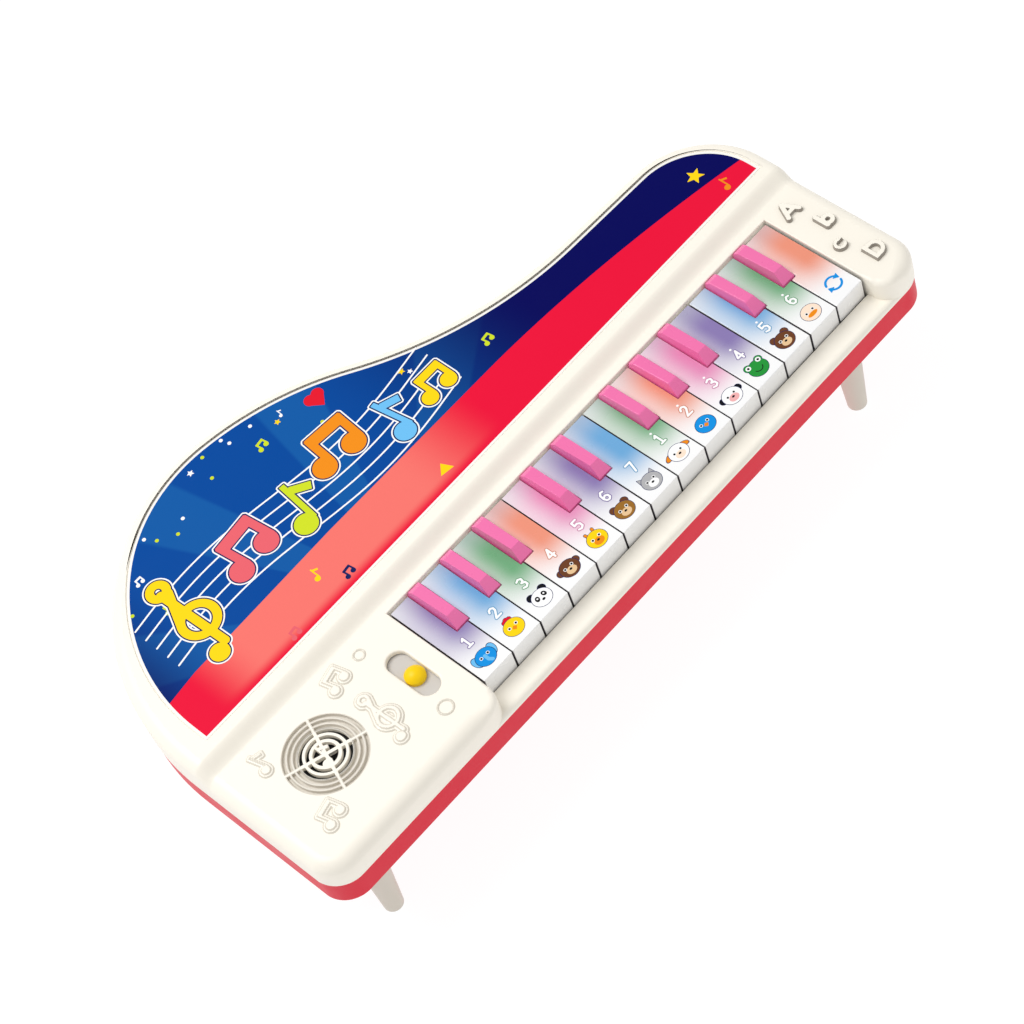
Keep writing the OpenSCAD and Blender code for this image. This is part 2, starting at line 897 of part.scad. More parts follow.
module switch_knob() {
    cap_height = 4;
    sphere_radius = 4.7;
    knob_low = shield_top + 0.1;
    color([1, 0.82, 0])
        translate([switch_at[0], switch_at[1] + knob_rest, 0]) {
            intersection() {
                translate([0, 0, knob_low])
                    cylinder(r = knob_radius, h = cap_height + 1);
                translate([0, 0, knob_low + cap_height - sphere_radius])
                    sphere(r = sphere_radius);
            }
            box([-stem_width / 2, -stem_width / 2, shield_top - 5], [stem_width / 2, stem_width / 2, knob_low + 1]);
        }
}

// Plate that slides with the knob and closes the slot from below
module switch_shield() {
    hole = stem_width / 2 + running_gap;
    color([0.8, 0.79, 0.77])
        difference() {
            translate([switch_at[0], switch_at[1] + knob_rest, shield_top - shield_thickness / 2])
                cube([shield_size[0], shield_size[1], shield_thickness], center = true);
            translate([switch_at[0], switch_at[1] + knob_rest, 0])
                box([-hole, -hole, shield_top - 2], [hole, hole, shield_top + 1]);
        }
}

module slide_switch() {
    reach = switch_travel + abs(knob_rest) + stem_width / 2 + 0.5;
    top = shield_top - shield_thickness - 0.5;
    color([0.25, 0.25, 0.27])
        translate([switch_at[0], switch_at[1], 0])
            difference() {
                box([-4.5, -reach - 1.5, top - 8], [4.5, reach + 1.5, top]);
                box([-stem_width / 2 - 0.4, -reach, top - 5], [stem_width / 2 + 0.4, reach, top + 1]);
            }
}

// ---------------------------------------------------------------- speaker

module at_speaker(z = 0) {
    translate([speaker_at[0], speaker_at[1], z])
        children();
}

module speaker_frame() {
    color("dimgray")
        at_speaker(speaker_seat)
            rotate_extrude()
                polygon([
                    [13.8, 2.4], [speaker_radius, 2.4], [speaker_radius, 0.1], [15, 0.1], [11, -6],
                    [9.5, -6], [9.5, -13], [0, -13], [0, -7.2], [7, -7.2], [13.8, 0.6]
                ]);
}

module speaker_cone() {
    color("black")
        at_speaker(speaker_seat)
            rotate_extrude()
                polygon([
                    [0, -2.6], [4, -4.6], [6.4, -7], [6.8, -6.4], [13.5, 1.2], [13.5, 2.2], [12.5, 2.2],
                    [6, -4.4], [4, -3.8], [0, -1.8]
                ]);
}

module speaker_clamp() {
    thickness = 1.8;
    color("gray")
        at_speaker(speaker_seat - thickness)
            linear_extrude(thickness)
                difference() {
                    union() {
                        circle(r = speaker_radius + 1.7);
                        for (side = [-1, 1])
                            translate([side * clamp_ear, 0])
                                circle(r = 3.2);
                        square([2 * clamp_ear, 5], center = true);
                    }
                    circle(r = 15.2);
                    for (side = [-1, 1])
                        translate([side * clamp_ear, 0])
                            circle(r = 1);
                }
}

module speaker_screws() {
    color(steel)
        for (side = [-1, 1])
            translate([speaker_at[0] + side * clamp_ear, speaker_at[1], speaker_seat - 1.8])
                screw(2, 1.3, 0.85, 3.8);
}

// ---------------------------------------------------------------- power

module batteries() {
    color([0.3, 0.5, 0.35])
        for (cell = [-1, 0, 1]) {
            flip = cell == 0 ? -1 : 1;
            translate([bay_centre[0], bay_centre[1] + cell * cell_pitch, cell_z])
                rotate([0, flip * 90, 0]) {
                    translate([0, 0, -battery_length / 2])
                        cylinder(r = battery_radius, h = battery_length);
                    cylinder(r = 2.7, h = battery_length / 2 + 1);
                }
        }
}

// Plates at both ends of the bay, with a coil stood in for by a cone at each negative end
module battery_contacts() {
    half = bay_size[0] / 2;
    color(steel)
        for (cell = [-1, 0, 1]) {
            flip = cell == 0 ? -1 : 1;
            translate([bay_centre[0], bay_centre[1] + cell * cell_pitch, cell_z])
                rotate([0, flip * 90, 0]) {
                    for (side = [-1, 1])
                        translate([0, 0, side * (half - contact_thickness / 2)])
                            cube([11, 11, contact_thickness], center = true);
                    translate([0, 0, -half])
                        cylinder(r1 = 4, r2 = 2.8, h = half - battery_length / 2);
                    translate([0, 0, battery_length / 2 + 1])
                        cylinder(r = 1.5, h = half - battery_length / 2 - 1);
                }
        }
}

module battery_door() {
    color(red)
        difference() {
            translate([0, 0, z_base])
                linear_extrude(door_thickness)
                    door_area(0);
            translate([door_screw_at[0], door_screw_at[1], z_base - 1])
                cylinder(r = screw_radius + 0.3, h = 4);
            translate([door_screw_at[0], door_screw_at[1], z_base - 1])
                cylinder(r = 2.6, h = 1.8);
            for (groove = [0 : 4])
                translate([bay_centre[0] + 18 + 2.2 * groove, bay_centre[1], z_base])
                    cube([1, 18, 1], center = true);
        }
}

module door_screw() {
    color(steel)
        translate([door_screw_at[0], door_screw_at[1], z_base + 0.8])
            screw(2.3, 0.7, screw_radius, 7);
}

module casing_screws() {
    color(steel)
        for (place = concat(lid_posts, block_posts))
            translate([place[0], place[1], screw_seat])
                screw(screw_head_radius, 2, screw_radius, 13);
}

// Wire with eight flats through a list of points
module wire(points, radius) {
    for (k = [0 : len(points) - 2]) {
        run = points[k + 1] - points[k];
        reach = norm(run);
        translate(points[k])
            rotate([0, acos(run[2] / reach), atan2(run[1], run[0])])
                translate([0, 0, -radius / 2])
                    cylinder(r = radius, h = reach + radius, $fn = 8);
    }
}

module speaker_wires() {
    color("firebrick")
        for (side = [0, 1])
            wire([
                [speaker_at[0] + 11.5, speaker_at[1] + 4 + 2 * side, speaker_seat - 7],
                [speaker_at[0] + 16, speaker_at[1] + 12 + 2 * side, z_floor + 2],
                [board_left - 5, board_front + 12 + 2 * side, z_floor + 1.5],
                [board_left + 1, board_front + 12 + 2 * side, board_bottom - 0.6]
            ], 0.5);
}

module battery_wires() {
    z_low = z_floor + 0.9;
    color("black")
        for (side = [0, 1])
            wire([
                [bay_centre[0] - 9 + 2 * side, bay_centre[1] - bay_size[1] / 2 - bay_wall - 0.8, cell_z],
                [bay_centre[0] - 9 + 2 * side, bay_centre[1] - bay_size[1] / 2 - bay_wall - 2, z_low],
                [frame_left - 4 + 2 * side, pivot_y - 8, z_low],
                [board_left - 3 + 2 * side, board_back + 6, z_low],
                [board_left + 4 + 2 * side, board_back - 1, board_bottom - 0.6]
            ], 0.5);
}

// ---------------------------------------------------------------- assembly

upper_shell();
lower_shell();
lid_label();
switch_knob();
switch_shield();
slide_switch();
speaker_frame();
speaker_cone();
speaker_clamp();
speaker_screws();
circuit_board();
sound_chip();
capacitors();
contact_domes();
board_screws();
key_rod();
key_frame();
key_stop_felt();
leg(leg_places[0]);  // leg_front_left
leg(leg_places[1]);  // leg_front_right
leg(leg_places[2]);  // leg_tail
foot_pads();
batteries();
battery_contacts();
battery_door();
door_screw();
casing_screws();
speaker_wires();
battery_wires();
for (i = [0 : white_count - 1])
    white_key(i);
for (i = [0 : len(raised_centres) - 1])
    raised_key(i);
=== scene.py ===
"""Looks of a toy electronic keyboard shaped like a small grand piano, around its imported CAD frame.

Lengths in this file are millimetres unless a name ends in _m. The player sits on the -Y side.
"""

import json
import math

import bpy
import numpy as np
from mathutils import Matrix, Vector, geometry


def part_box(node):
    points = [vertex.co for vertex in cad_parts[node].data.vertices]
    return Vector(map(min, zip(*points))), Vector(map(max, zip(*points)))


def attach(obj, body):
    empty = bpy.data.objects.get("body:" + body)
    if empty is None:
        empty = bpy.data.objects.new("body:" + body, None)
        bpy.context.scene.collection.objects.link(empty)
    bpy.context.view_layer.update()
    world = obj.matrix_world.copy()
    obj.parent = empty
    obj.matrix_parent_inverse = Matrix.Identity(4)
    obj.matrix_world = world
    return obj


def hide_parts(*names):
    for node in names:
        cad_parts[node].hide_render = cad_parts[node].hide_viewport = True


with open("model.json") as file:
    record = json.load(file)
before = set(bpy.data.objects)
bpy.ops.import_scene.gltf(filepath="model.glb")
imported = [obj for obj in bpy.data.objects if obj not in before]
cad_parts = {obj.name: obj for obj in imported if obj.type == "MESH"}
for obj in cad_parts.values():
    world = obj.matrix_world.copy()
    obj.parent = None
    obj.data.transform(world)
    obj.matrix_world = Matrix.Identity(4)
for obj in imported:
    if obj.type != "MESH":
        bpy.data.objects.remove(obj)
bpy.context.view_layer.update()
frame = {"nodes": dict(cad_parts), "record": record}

MM = 0.001
WHITE_KEYS = sorted(n for n in frame["nodes"] if n.startswith("white_key_"))
PINK_KEYS = sorted(n for n in frame["nodes"] if n.startswith("pink_key_"))


def box_mm(node):
    """Lowest and highest corner of a CAD node, in millimetres."""
    low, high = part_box(node)
    return low / MM, high / MM


SHELL_LOW, SHELL_HIGH = box_mm("upper_shell")
KEY_LOW, KEY_HIGH = box_mm(WHITE_KEYS[0])
LABEL_TOP = box_mm("lid_label")[1].z
KEY_PITCH = 15.0
# Space on the left of the first key, and length of the keys that shows
KEY_GAP = 0.3
KEY_SHOWN = 47.8
# Height of the upper shell over the seam between the shells
UPPER_HEIGHT = 17
KEYS_LEFT = KEY_LOW.x - KEY_GAP
KEYS_FRONT = KEY_LOW.y
KEY_TOP = KEY_HIGH.z
KEYS_BACK = KEYS_FRONT + KEY_SHOWN
LID_TOP = SHELL_HIGH.z
SEAM = LID_TOP - UPPER_HEIGHT


# ---------------- materials


def srgb(red, green, blue):
    """A screen colour from 0 to 255 as the linear RGBA that shaders take."""

    def linear(value):
        value = value / 255
        return value / 12.92 if value <= 0.04045 else ((value + 0.055) / 1.055) ** 2.4

    return (linear(red), linear(green), linear(blue), 1.0)


class Shader:
    """A node material built one step at a time. Its nodes read places in the frame, in metres."""

    def __init__(self, name):
        self.name = name
        self.material = bpy.data.materials.new(name)
        self.material.use_nodes = True
        self.nodes = self.material.node_tree.nodes
        self.links = self.material.node_tree.links
        self.bsdf = self.nodes["Principled BSDF"]
        self.place = self.nodes.new("ShaderNodeTexCoord").outputs["Object"]

    def link(self, source, target):
        """Sets an input to a number or a colour, or joins it to another node's output."""
        if isinstance(source, (int, float, tuple)):
            target.default_value = source
        else:
            self.links.new(source, target)

    def feed(self, node, **sources):
        for name, source in sources.items():
            self.link(source, node.inputs[name.replace("_", " ")])
        return node

    def set(self, **sources):
        self.feed(self.bsdf, **sources)
        return self

    def math(self, operation, first, second=0.0):
        node = self.nodes.new("ShaderNodeMath")
        node.operation = operation
        self.link(first, node.inputs[0])
        self.link(second, node.inputs[1])
        return node.outputs[0]

    def product(self, value, *factors):
        for factor in factors:
            value = self.math("MULTIPLY", value, factor)
        return value

    def axes(self):
        """X, Y and Z of the shaded point in millimetres."""
        node = self.nodes.new("ShaderNodeSeparateXYZ")
        self.links.new(self.place, node.inputs[0])
        return [self.product(node.outputs[axis], 1 / MM) for axis in "XYZ"]

    def map_range(self, value, low, high, new_low=0.0, new_high=1.0, kind="LINEAR"):
        node = self.nodes.new("ShaderNodeMapRange")
        node.interpolation_type = kind
        self.feed(node, Value=value, From_Min=low, From_Max=high, To_Min=new_low, To_Max=new_high)
        return node.outputs["Result"]

    def ramp(self, value, low, high):
        """0 below low and 1 above high, with a smooth change between them."""
        return self.map_range(value, low, high, kind="SMOOTHSTEP")

    def spread(self, value, low, high):
        """Stretches noise around its middle to run from low to high."""
        return self.map_range(value, 0.3, 0.7, low, high)

    def mix(self, share, first, second):
        node = self.nodes.new("ShaderNodeMix")
        node.data_type = "RGBA"
        return self.feed(node, Factor=share, A=first, B=second).outputs["Result"]

    def noise(self, size, detail=3.0, roughness=0.55, place=None):
        """Noise whose lumps are about size millimetres wide."""
        node = self.nodes.new("ShaderNodeTexNoise")
        self.feed(node, Scale=1 / (size * MM), Detail=detail, Roughness=roughness)
        self.link(self.place if place is None else place, node.inputs["Vector"])
        return node.outputs["Fac"]

    def colour(self, value):
        return self.set(Base_Color=value)

    def rough(self, size, low, high):
        """Roughness that wanders between low and high."""
        return self.set(Roughness=self.spread(self.noise(size), low, high))

    def bump(self, height, depth):
        """Bumps as deep as depth millimetres for a height that runs from 0 to 1."""
        node = self.nodes.new("ShaderNodeBump")
        self.feed(node, Strength=1.0, Distance=depth * MM, Height=height)
        return self.set(Normal=node.outputs["Normal"])


def moulded(name, colour, rough=(0.30, 0.40), grain=0.35, depth=0.004, coat=0.0):
    """Injection-moulded plastic: a fine spark-eroded grain over a faint large-scale ripple."""
    shader = Shader(name)
    shader.set(IOR=1.5, Coat_Weight=coat, Coat_Roughness=0.12)
    shader.colour(colour)
    shader.rough(14, *rough)
    fine = shader.product(shader.noise(grain, 2.0), 0.7)
    broad = shader.product(shader.noise(30, 1.0), 0.3)
    shader.bump(shader.math("ADD", fine, broad), depth)
    return shader


def printed(name, colour):
    """Ink under a satin film."""
    return moulded(name, colour, (0.34, 0.42), grain=1.2, depth=0.002).set(Specular_IOR_Level=0.06)


def sheet_metal(name, colour, low, high):
    """Drawn or plated metal with fine streaks along X."""
    shader = Shader(name)
    shader.set(Metallic=1.0)
    shader.colour(colour)
    streaks = shader.nodes.new("ShaderNodeMapping")
    shader.feed(streaks, Scale=(0.06, 1.0, 1.0), Vector=shader.place)
    value = shader.noise(0.25, 2.0, 0.5, streaks.outputs["Vector"])
    shader.set(Roughness=shader.spread(value, low, high))
    shader.bump(value, 0.003)
    return shader


def woven(name, colour, pitch, depth):
    """Felt, paper or cloth: crossed fibres at the pitch given."""
    shader = Shader(name)
    shader.set(Sheen_Weight=0.25, Sheen_Roughness=0.5)
    shader.colour(colour)
    shader.rough(pitch, 0.78, 0.95)
    shader.bump(shader.noise(pitch, 6.0, 0.8), depth)
    return shader


CREAM = srgb(253, 247, 234)
SHADERS = [
    moulded("cream_plastic", CREAM, (0.36, 0.44)),
    # Darker cream on the grille's groove floors, painted shade
    moulded("groove_shade", srgb(222, 215, 202), (0.36, 0.46)),
    # Darker cream on the walls of the raised signs, painted shade
    moulded("sign_shade", srgb(224, 217, 202), (0.36, 0.46)),
    # Grey-brown on the walls of the raised letters, painted shade
    moulded("letter_shade", srgb(158, 150, 139), (0.36, 0.46)),
    moulded("red_plastic", srgb(226, 30, 56), (0.36, 0.46)).set(Specular_IOR_Level=0.2),
    moulded("yellow_plastic", srgb(255, 212, 0), (0.3, 0.4)).set(Specular_IOR_Level=0.25),
    moulded("grey_plastic", srgb(205, 200, 194), (0.42, 0.52)),
    moulded("dark_plastic", srgb(40, 40, 43), (0.42, 0.55)),
    sheet_metal("plated_steel", srgb(196, 196, 198), 0.26, 0.42),
    woven("cone_paper", srgb(46, 46, 50), 0.4, 0.05),
    sheet_metal("screw_steel", srgb(214, 214, 218), 0.18, 0.30),
    moulded("board_green", srgb(26, 112, 66), (0.30, 0.42), grain=0.6, depth=0.01),
    moulded("contact_rubber", srgb(150, 150, 154), (0.65, 0.80), grain=0.2, depth=0.01),
    woven("stop_felt", srgb(72, 84, 60), 0.3, 0.12),
    moulded("leg_plastic", srgb(214, 206, 193), (0.40, 0.50)),
    moulded("foot_rubber", srgb(92, 90, 88), (0.75, 0.88), grain=0.25, depth=0.02),
    moulded("battery_jacket", srgb(62, 122, 84), (0.20, 0.30)),
    moulded("pink_key_plastic", srgb(242, 112, 172), (0.24, 0.34), depth=0.001, coat=0.15),
    moulded("red_wire", srgb(170, 30, 36), (0.45, 0.55)),
    moulded("black_wire", srgb(30, 30, 32), (0.45, 0.55)),
]
MATERIALS = {shader.name: shader for shader in SHADERS}
MATERIALS["label_print"] = moulded(
    "label_film", srgb(250, 248, 244), (0.16, 0.22), grain=1.2, depth=0.002, coat=0.3
)


# ---------------- flat shapes

# A shape is a function of X and Y arrays, in millimetres. It gives the distance to the shape's
# outline, negative inside.


def disc(x, y, radius):
    return lambda px, py: np.hypot(px - x, py - y) - radius


def oval(x, y, half_width, half_height, turn=0.0):
    cos, sin = math.cos(math.radians(turn)), math.sin(math.radians(turn))

    def field(px, py):
        along = (cos * (px - x) + sin * (py - y)) / half_width
        across = (cos * (py - y) - sin * (px - x)) / half_height
        return (np.hypot(along, across) - 1) * min(half_width, half_height)

    return field


def bar(points, width):
    """Round-ended stroke through the points."""

    def field(px, py):
        nearest = np.full(px.shape, np.inf)
        for (ax, ay), (bx, by) in zip(points, points[1:]):
            dx, dy = bx - ax, by - ay
            share = np.clip(((px - ax) * dx + (py - ay) * dy) / (dx * dx + dy * dy), 0, 1)
            nearest = np.minimum(nearest, np.hypot(px - ax - share * dx, py - ay - share * dy))
        return nearest - width / 2

    return field


def poly(*points):
    closed = [*points, points[0]]
    edge = bar(closed, 0)

    def field(px, py):
        inside = np.zeros(px.shape, bool)
        for (ax, ay), (bx, by) in zip(closed, closed[1:]):
            if ay != by:
                inside ^= ((ay > py) != (by > py)) & (px < (bx - ax) * (py - ay) / (by - ay) + ax)
        return np.where(inside, -1, 1) * edge(px, py)

    return field


def plate(low_x, low_y, high_x, high_y):
    return poly((low_x, low_y), (high_x, low_y), (high_x, high_y), (low_x, high_y))


def join(*shapes):
    return lambda px, py: np.minimum.reduce([shape(px, py) for shape in shapes])


def overlap(*shapes):
    return lambda px, py: np.maximum.reduce([shape(px, py) for shape in shapes])


def cut(shape, *others):
    return lambda px, py: np.maximum.reduce([shape(px, py), *(-other(px, py) for other in others)])


def grow(shape, by):
    return lambda px, py: shape(px, py) - by


def outline(shape, width):
    return lambda px, py: abs(shape(px, py)) - width / 2


def moved(shape, x, y, turn=0.0, size=1.0):
    """The shape turned by degrees, made size times as large and moved by x and y."""
    cos, sin = math.cos(math.radians(turn)), math.sin(math.radians(turn))

    def field(px, py):
        across, up = (px - x) / size, (py - y) / size
        return size * shape(cos * across + sin * up, cos * up - sin * across)

    return field


def star(x, y, radius, turn=0.0):
    points = []
    for k in range(10):
        reach = radius * (1 if k % 2 == 0 else 0.42)
        angle = math.radians(turn + 90 + 36 * k)
        points.append((x + reach * math.cos(angle), y + reach * math.sin(angle)))
    return poly(*points)


def arc(x, y, radius, low, high, width):
    """Stroke along part of a circle, between two angles in degrees."""
    steps = max(4, int(abs(high - low) / 12))
    angles = [math.radians(low + (high - low) * k / steps) for k in range(steps + 1)]
    return bar([(x + radius * math.cos(a), y + radius * math.sin(a)) for a in angles], width)


def closed_chains(pairs):
    """The pairs of neighbours joined up into closed chains."""
    links = {}
    for first, second in pairs:
        links.setdefault(first, []).append(second)
        links.setdefault(second, []).append(first)
    chains = []
    while links:
        chain, here = [], next(iter(links))
        while here in links:
            options = links.pop(here)
            chain.append(here)
            here = next((option for option in options if option in links), options[0])
        chains.append(chain)
    return chains


def samples(window, step):
    """X and Y of a grid step apart in a window, which is low x, low y, high x, high y."""
    low_x, low_y, high_x, high_y = window
    return np.arange(low_x, high_x + step, step), np.arange(low_y, high_y + step, step)


def contours(shape, window, step):
    """Closed outlines of a shape in a window, from samples step apart."""
    xs, ys = samples(window, step)
    value = np.array(shape(*np.meshgrid(xs, ys)), float)
    value[[0, -1], :] = 1.0
    value[:, [0, -1]] = 1.0
    value[np.abs(value) < 1e-6] = 1e-6
    inside = value < 0
    count = inside[:-1, :-1].astype(int) + inside[:-1, 1:] + inside[1:, 1:] + inside[1:, :-1]
    pairs = []
    for j, i in np.argwhere((count > 0) & (count < 4)).tolist():
        corners = (inside[j, i], inside[j, i + 1], inside[j + 1, i + 1], inside[j + 1, i])
        sides = ((j, i, 0), (j, i + 1, 1), (j + 1, i, 0), (j, i, 1))
        ends = [side for k, side in enumerate(sides) if corners[k] != corners[(k + 1) % 4]]
        if len(ends) == 4 and corners[0]:
            ends = ends[1:] + ends[:1]
        pairs += zip(ends[::2], ends[1::2])

    def place(end):
        j, i, upright = end
        far_j, far_i = j + upright, i + 1 - upright
        share = value[j, i] / (value[j, i] - value[far_j, far_i])
        return (xs[i] + share * step * (1 - upright), ys[j] + share * step * upright)

    return [np.array([place(end) for end in chain]) for chain in closed_chains(pairs)]


def simplify(points, slack):
    """A closed outline with the points left out that lie within slack of the rest."""
    keep = np.zeros(len(points), bool)
    far = int(np.argmax(np.hypot(*(points - points[0]).T)))
    keep[[0, far]] = True
    spans = [(0, far), (far, len(points))]
    while spans:
        first, last = spans.pop()
        if last - first < 2:
            continue
        start, run = points[first], points[last % len(points)] - points[first]
        between = points[first + 1:last] - start
        away = np.abs(run[0] * between[:, 1] - run[1] * between[:, 0]) / max(np.hypot(*run), 1e-9)
        worst = int(np.argmax(away))
        if away[worst] > slack:
            middle = first + 1 + worst
            keep[middle] = True
            spans += [(first, middle), (middle, last)]
    return points[keep]


def even_odd(places, loops):
    """Which of the places lie inside an odd number of the loops."""
    x, y = places[:, 0, None], places[:, 1, None]
    inside = np.zeros(len(places), bool)
    for loop in loops:
        after = np.roll(loop, -1, axis=0)
        ax, ay, bx, by = loop[:, 0], loop[:, 1], after[:, 0], after[:, 1]
        rise = np.where(by == ay, 1e-12, by - ay)
        hits = ((ay > y) != (by > y)) & (x < (bx - ax) * (y - ay) / rise + ax)
        inside ^= hits.sum(axis=1) % 2 == 1
    return inside


def fill(loops, lines=()):
    """Flat triangles inside the loops, by the even-odd rule, cut along the extra lines."""
    points, edges = [], []
    for loop in loops:
        first, size = len(points), len(loop)
        points += [Vector(point) for point in loop]
        edges += [(first + k, first + (k + 1) % size) for k in range(size)]
    for start, end in lines:
        edges.append((len(points), len(points) + 1))
        points += [Vector(start), Vector(end)]
    places, _, faces, *_ = geometry.delaunay_2d_cdt(points, edges, [], 0, 1e-5)
    places = np.array([tuple(place) for place in places])
    faces = np.array(faces)
    inside = even_odd(places[faces].mean(axis=1), loops)
    return places, faces[inside]


def put_in_scene(name, data):
    obj = bpy.data.objects.new(name, data)
    bpy.context.scene.collection.objects.link(obj)
    return obj


def new_piece(name, points, faces, materials, body="casing", indices=None, smooth=False):
    """A mesh piece from points in millimetres, riding on a body."""
    mesh = bpy.data.meshes.new(name)
    corners = [tuple(float(value) * MM for value in point) for point in points]
    mesh.from_pydata(corners, [], [tuple(map(int, face)) for face in faces])
    for material in materials:
        mesh.materials.append(material)
    if indices is not None:
        mesh.polygons.foreach_set("material_index", indices)
    mesh.polygons.foreach_set("use_smooth", [smooth] * len(mesh.polygons))
    mesh.update()
    obj = put_in_scene(name, mesh)
    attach(obj, body)
    return obj


# ---------------- CAD pieces


def soften(obj, width, segments=2, angle=32):
    """Joins a CAD mesh's flat facets and rounds its edges."""
    weld = obj.modifiers.new("weld", "WELD")
    weld.merge_threshold = 0.002 * MM
    flat = obj.modifiers.new("flat", "DECIMATE")
    flat.decimate_type = "DISSOLVE"
    flat.angle_limit = math.radians(0.3)
    small = obj.modifiers.new("edges", "BEVEL")
    small.limit_method = "ANGLE"
    small.angle_limit = math.radians(angle)
    small.width = width * MM
    small.segments = segments
    obj.modifiers.new("normals", "WEIGHTED_NORMAL")


def set_material(obj, shader):
    obj.data.materials.clear()
    obj.data.materials.append(shader.material)


for entry in frame["record"]["subparts"]:
    piece = frame["nodes"][entry["node"]]
    if entry["material_slot"] in MATERIALS:
        set_material(piece, MATERIALS[entry["material_slot"]])
    piece.data.polygons.foreach_set("use_smooth", [True] * len(piece.data.polygons))


def flat_outlines(node, level):
    """Outlines of a CAD node's horizontal faces at a level, largest first, counterclockwise."""
    mesh = frame["nodes"][node].data
    names = [(round(v.co.x / MM, 3), round(v.co.y / MM, 3)) for v in mesh.vertices]
    flat = {v.index for v in mesh.vertices if abs(v.co.z / MM - level) < 0.005}
    count = {}
    for polygon in mesh.polygons:
        corners = list(polygon.vertices)
        if all(corner in flat for corner in corners):
            for first, second in zip(corners, corners[1:] + corners[:1]):
                pair = frozenset((names[first], names[second]))
                count[pair] = count.get(pair, 0) + 1
    pairs = [tuple(pair) for pair, uses in count.items() if uses == 1 and len(pair) == 2]
    loops = [np.array(chain) for chain in closed_chains(pairs) if len(chain) > 2]
    loops = [loop if signed_area(loop) > 0 else loop[::-1] for loop in loops]
    return sorted(loops, key=signed_area, reverse=True)


def signed_area(loop):
    after = np.roll(loop, -1, axis=0)
    return 0.5 * float(np.sum(loop[:, 0] * after[:, 1] - after[:, 0] * loop[:, 1]))


def inset(loop, distances):
    """The loop moved to its left by a distance for each point, with mitred corners."""
    ahead = np.roll(loop, -1, axis=0) - loop
    ahead = ahead / np.hypot(ahead[:, 0], ahead[:, 1])[:, None]
    behind = np.roll(ahead, 1, axis=0)
    normal = np.stack([-ahead[:, 1] - behind[:, 1], ahead[:, 0] + behind[:, 0]], axis=1)
    normal /= np.hypot(normal[:, 0], normal[:, 1])[:, None]
    mitre = np.maximum(-normal[:, 0] * ahead[:, 1] + normal[:, 1] * ahead[:, 0], 0.5)
    return loop + normal * (np.broadcast_to(distances, len(loop)) / mitre)[:, None]


LOWER_SHELL_ROUND = 0.15
WHITE_KEY_ROUND = 0.45
PINK_KEY_ROUND = 0.7

soften(frame["nodes"]["lower_shell"], LOWER_SHELL_ROUND)
for name in WHITE_KEYS:
    soften(frame["nodes"][name], WHITE_KEY_ROUND, segments=3)
for name in PINK_KEYS:
    soften(frame["nodes"][name], PINK_KEY_ROUND, segments=3, angle=25)


# ---------------- upper shell

# The block beside and behind the keys, the low ledge in front of them and the well that they stand in
BLOCK_TOP = LID_TOP - 4
LEDGE_TOP = SEAM + 2.8
WELL_LEFT, WELL_RIGHT = KEYS_LEFT - 0.6, KEYS_LEFT + len(WHITE_KEYS) * KEY_PITCH + 0.6
WELL_FRONT, WELL_BACK = KEYS_FRONT - 0.6, KEYS_BACK + 0.5
# Lower end of the well's walls, as a height
WELL_LOW = 50.0
BLOCK_CORNER = 7.0
# The soft step from the block to the lid
STEP_FOOT, STEP_HEAD = WELL_BACK + 3.6, WELL_BACK + 11.0
# Rounding of the shell's edges: outside, at the block's corners, at the well's corners, along the keys
OUTER_ROUND = 5.0
CORNER_ROUND = 2.4
WELL_CORNER_ROUND = 1.2
WELL_ROUND = 0.5
LEDGE_ROUND = 2.0
# Width of the wall's flat lower edge, at the seam
RIM = 1.6
# Middle of the switch's slot, from the front left corner of the keys
SWITCH_PLACE = (-12.75, 23.0)
SLOT_HALF = 7.6
SLOT_WIDTH = 9.2
# Flat or upright margin beside a rounded edge
MARGIN = 0.3
LONGEST_EDGE = 3.0
# The label's recess: its floor in the CAD model, its floor here, the narrowing of the groove, the edge
RECESS_DEPTH = 0.8
RECESS_SHOWN = 0.5
GROOVE_NARROWED = 0.4
RECESS_ROUND = 0.15


def ease(value, low, high):
    """0 below low and 1 above high, with a smooth change between them."""
    share = np.clip((value - low) / (high - low), 0, 1)
    return share * share * (3 - 2 * share)


def top_height(y):
    """Height of the shell's top along Y: the block, a soft step, the lid."""
    return BLOCK_TOP + (LID_TOP - BLOCK_TOP) * ease(y, STEP_FOOT, STEP_HEAD)


STEP_LINES = [STEP_FOOT + (STEP_HEAD - STEP_FOOT) * k / 14 for k in range(15)]


def subdivided(loop):
    """The loop with long edges cut up, and with a point at each line of the step."""
    points = []
    for start, end in zip(loop, np.roll(loop, -1, axis=0)):
        pieces = max(1, int(np.ceil(np.hypot(*(end - start)) / LONGEST_EDGE)))
        shares = {k / pieces for k in range(pieces)}
        if abs(end[1] - start[1]) > 0.5:
            for line in STEP_LINES:
                share = (line - start[1]) / (end[1] - start[1])
                if 0 < share < 1:
                    shares.add(share)
        points += [start + share * (end - start) for share in sorted(shares)]
    return np.array(points)


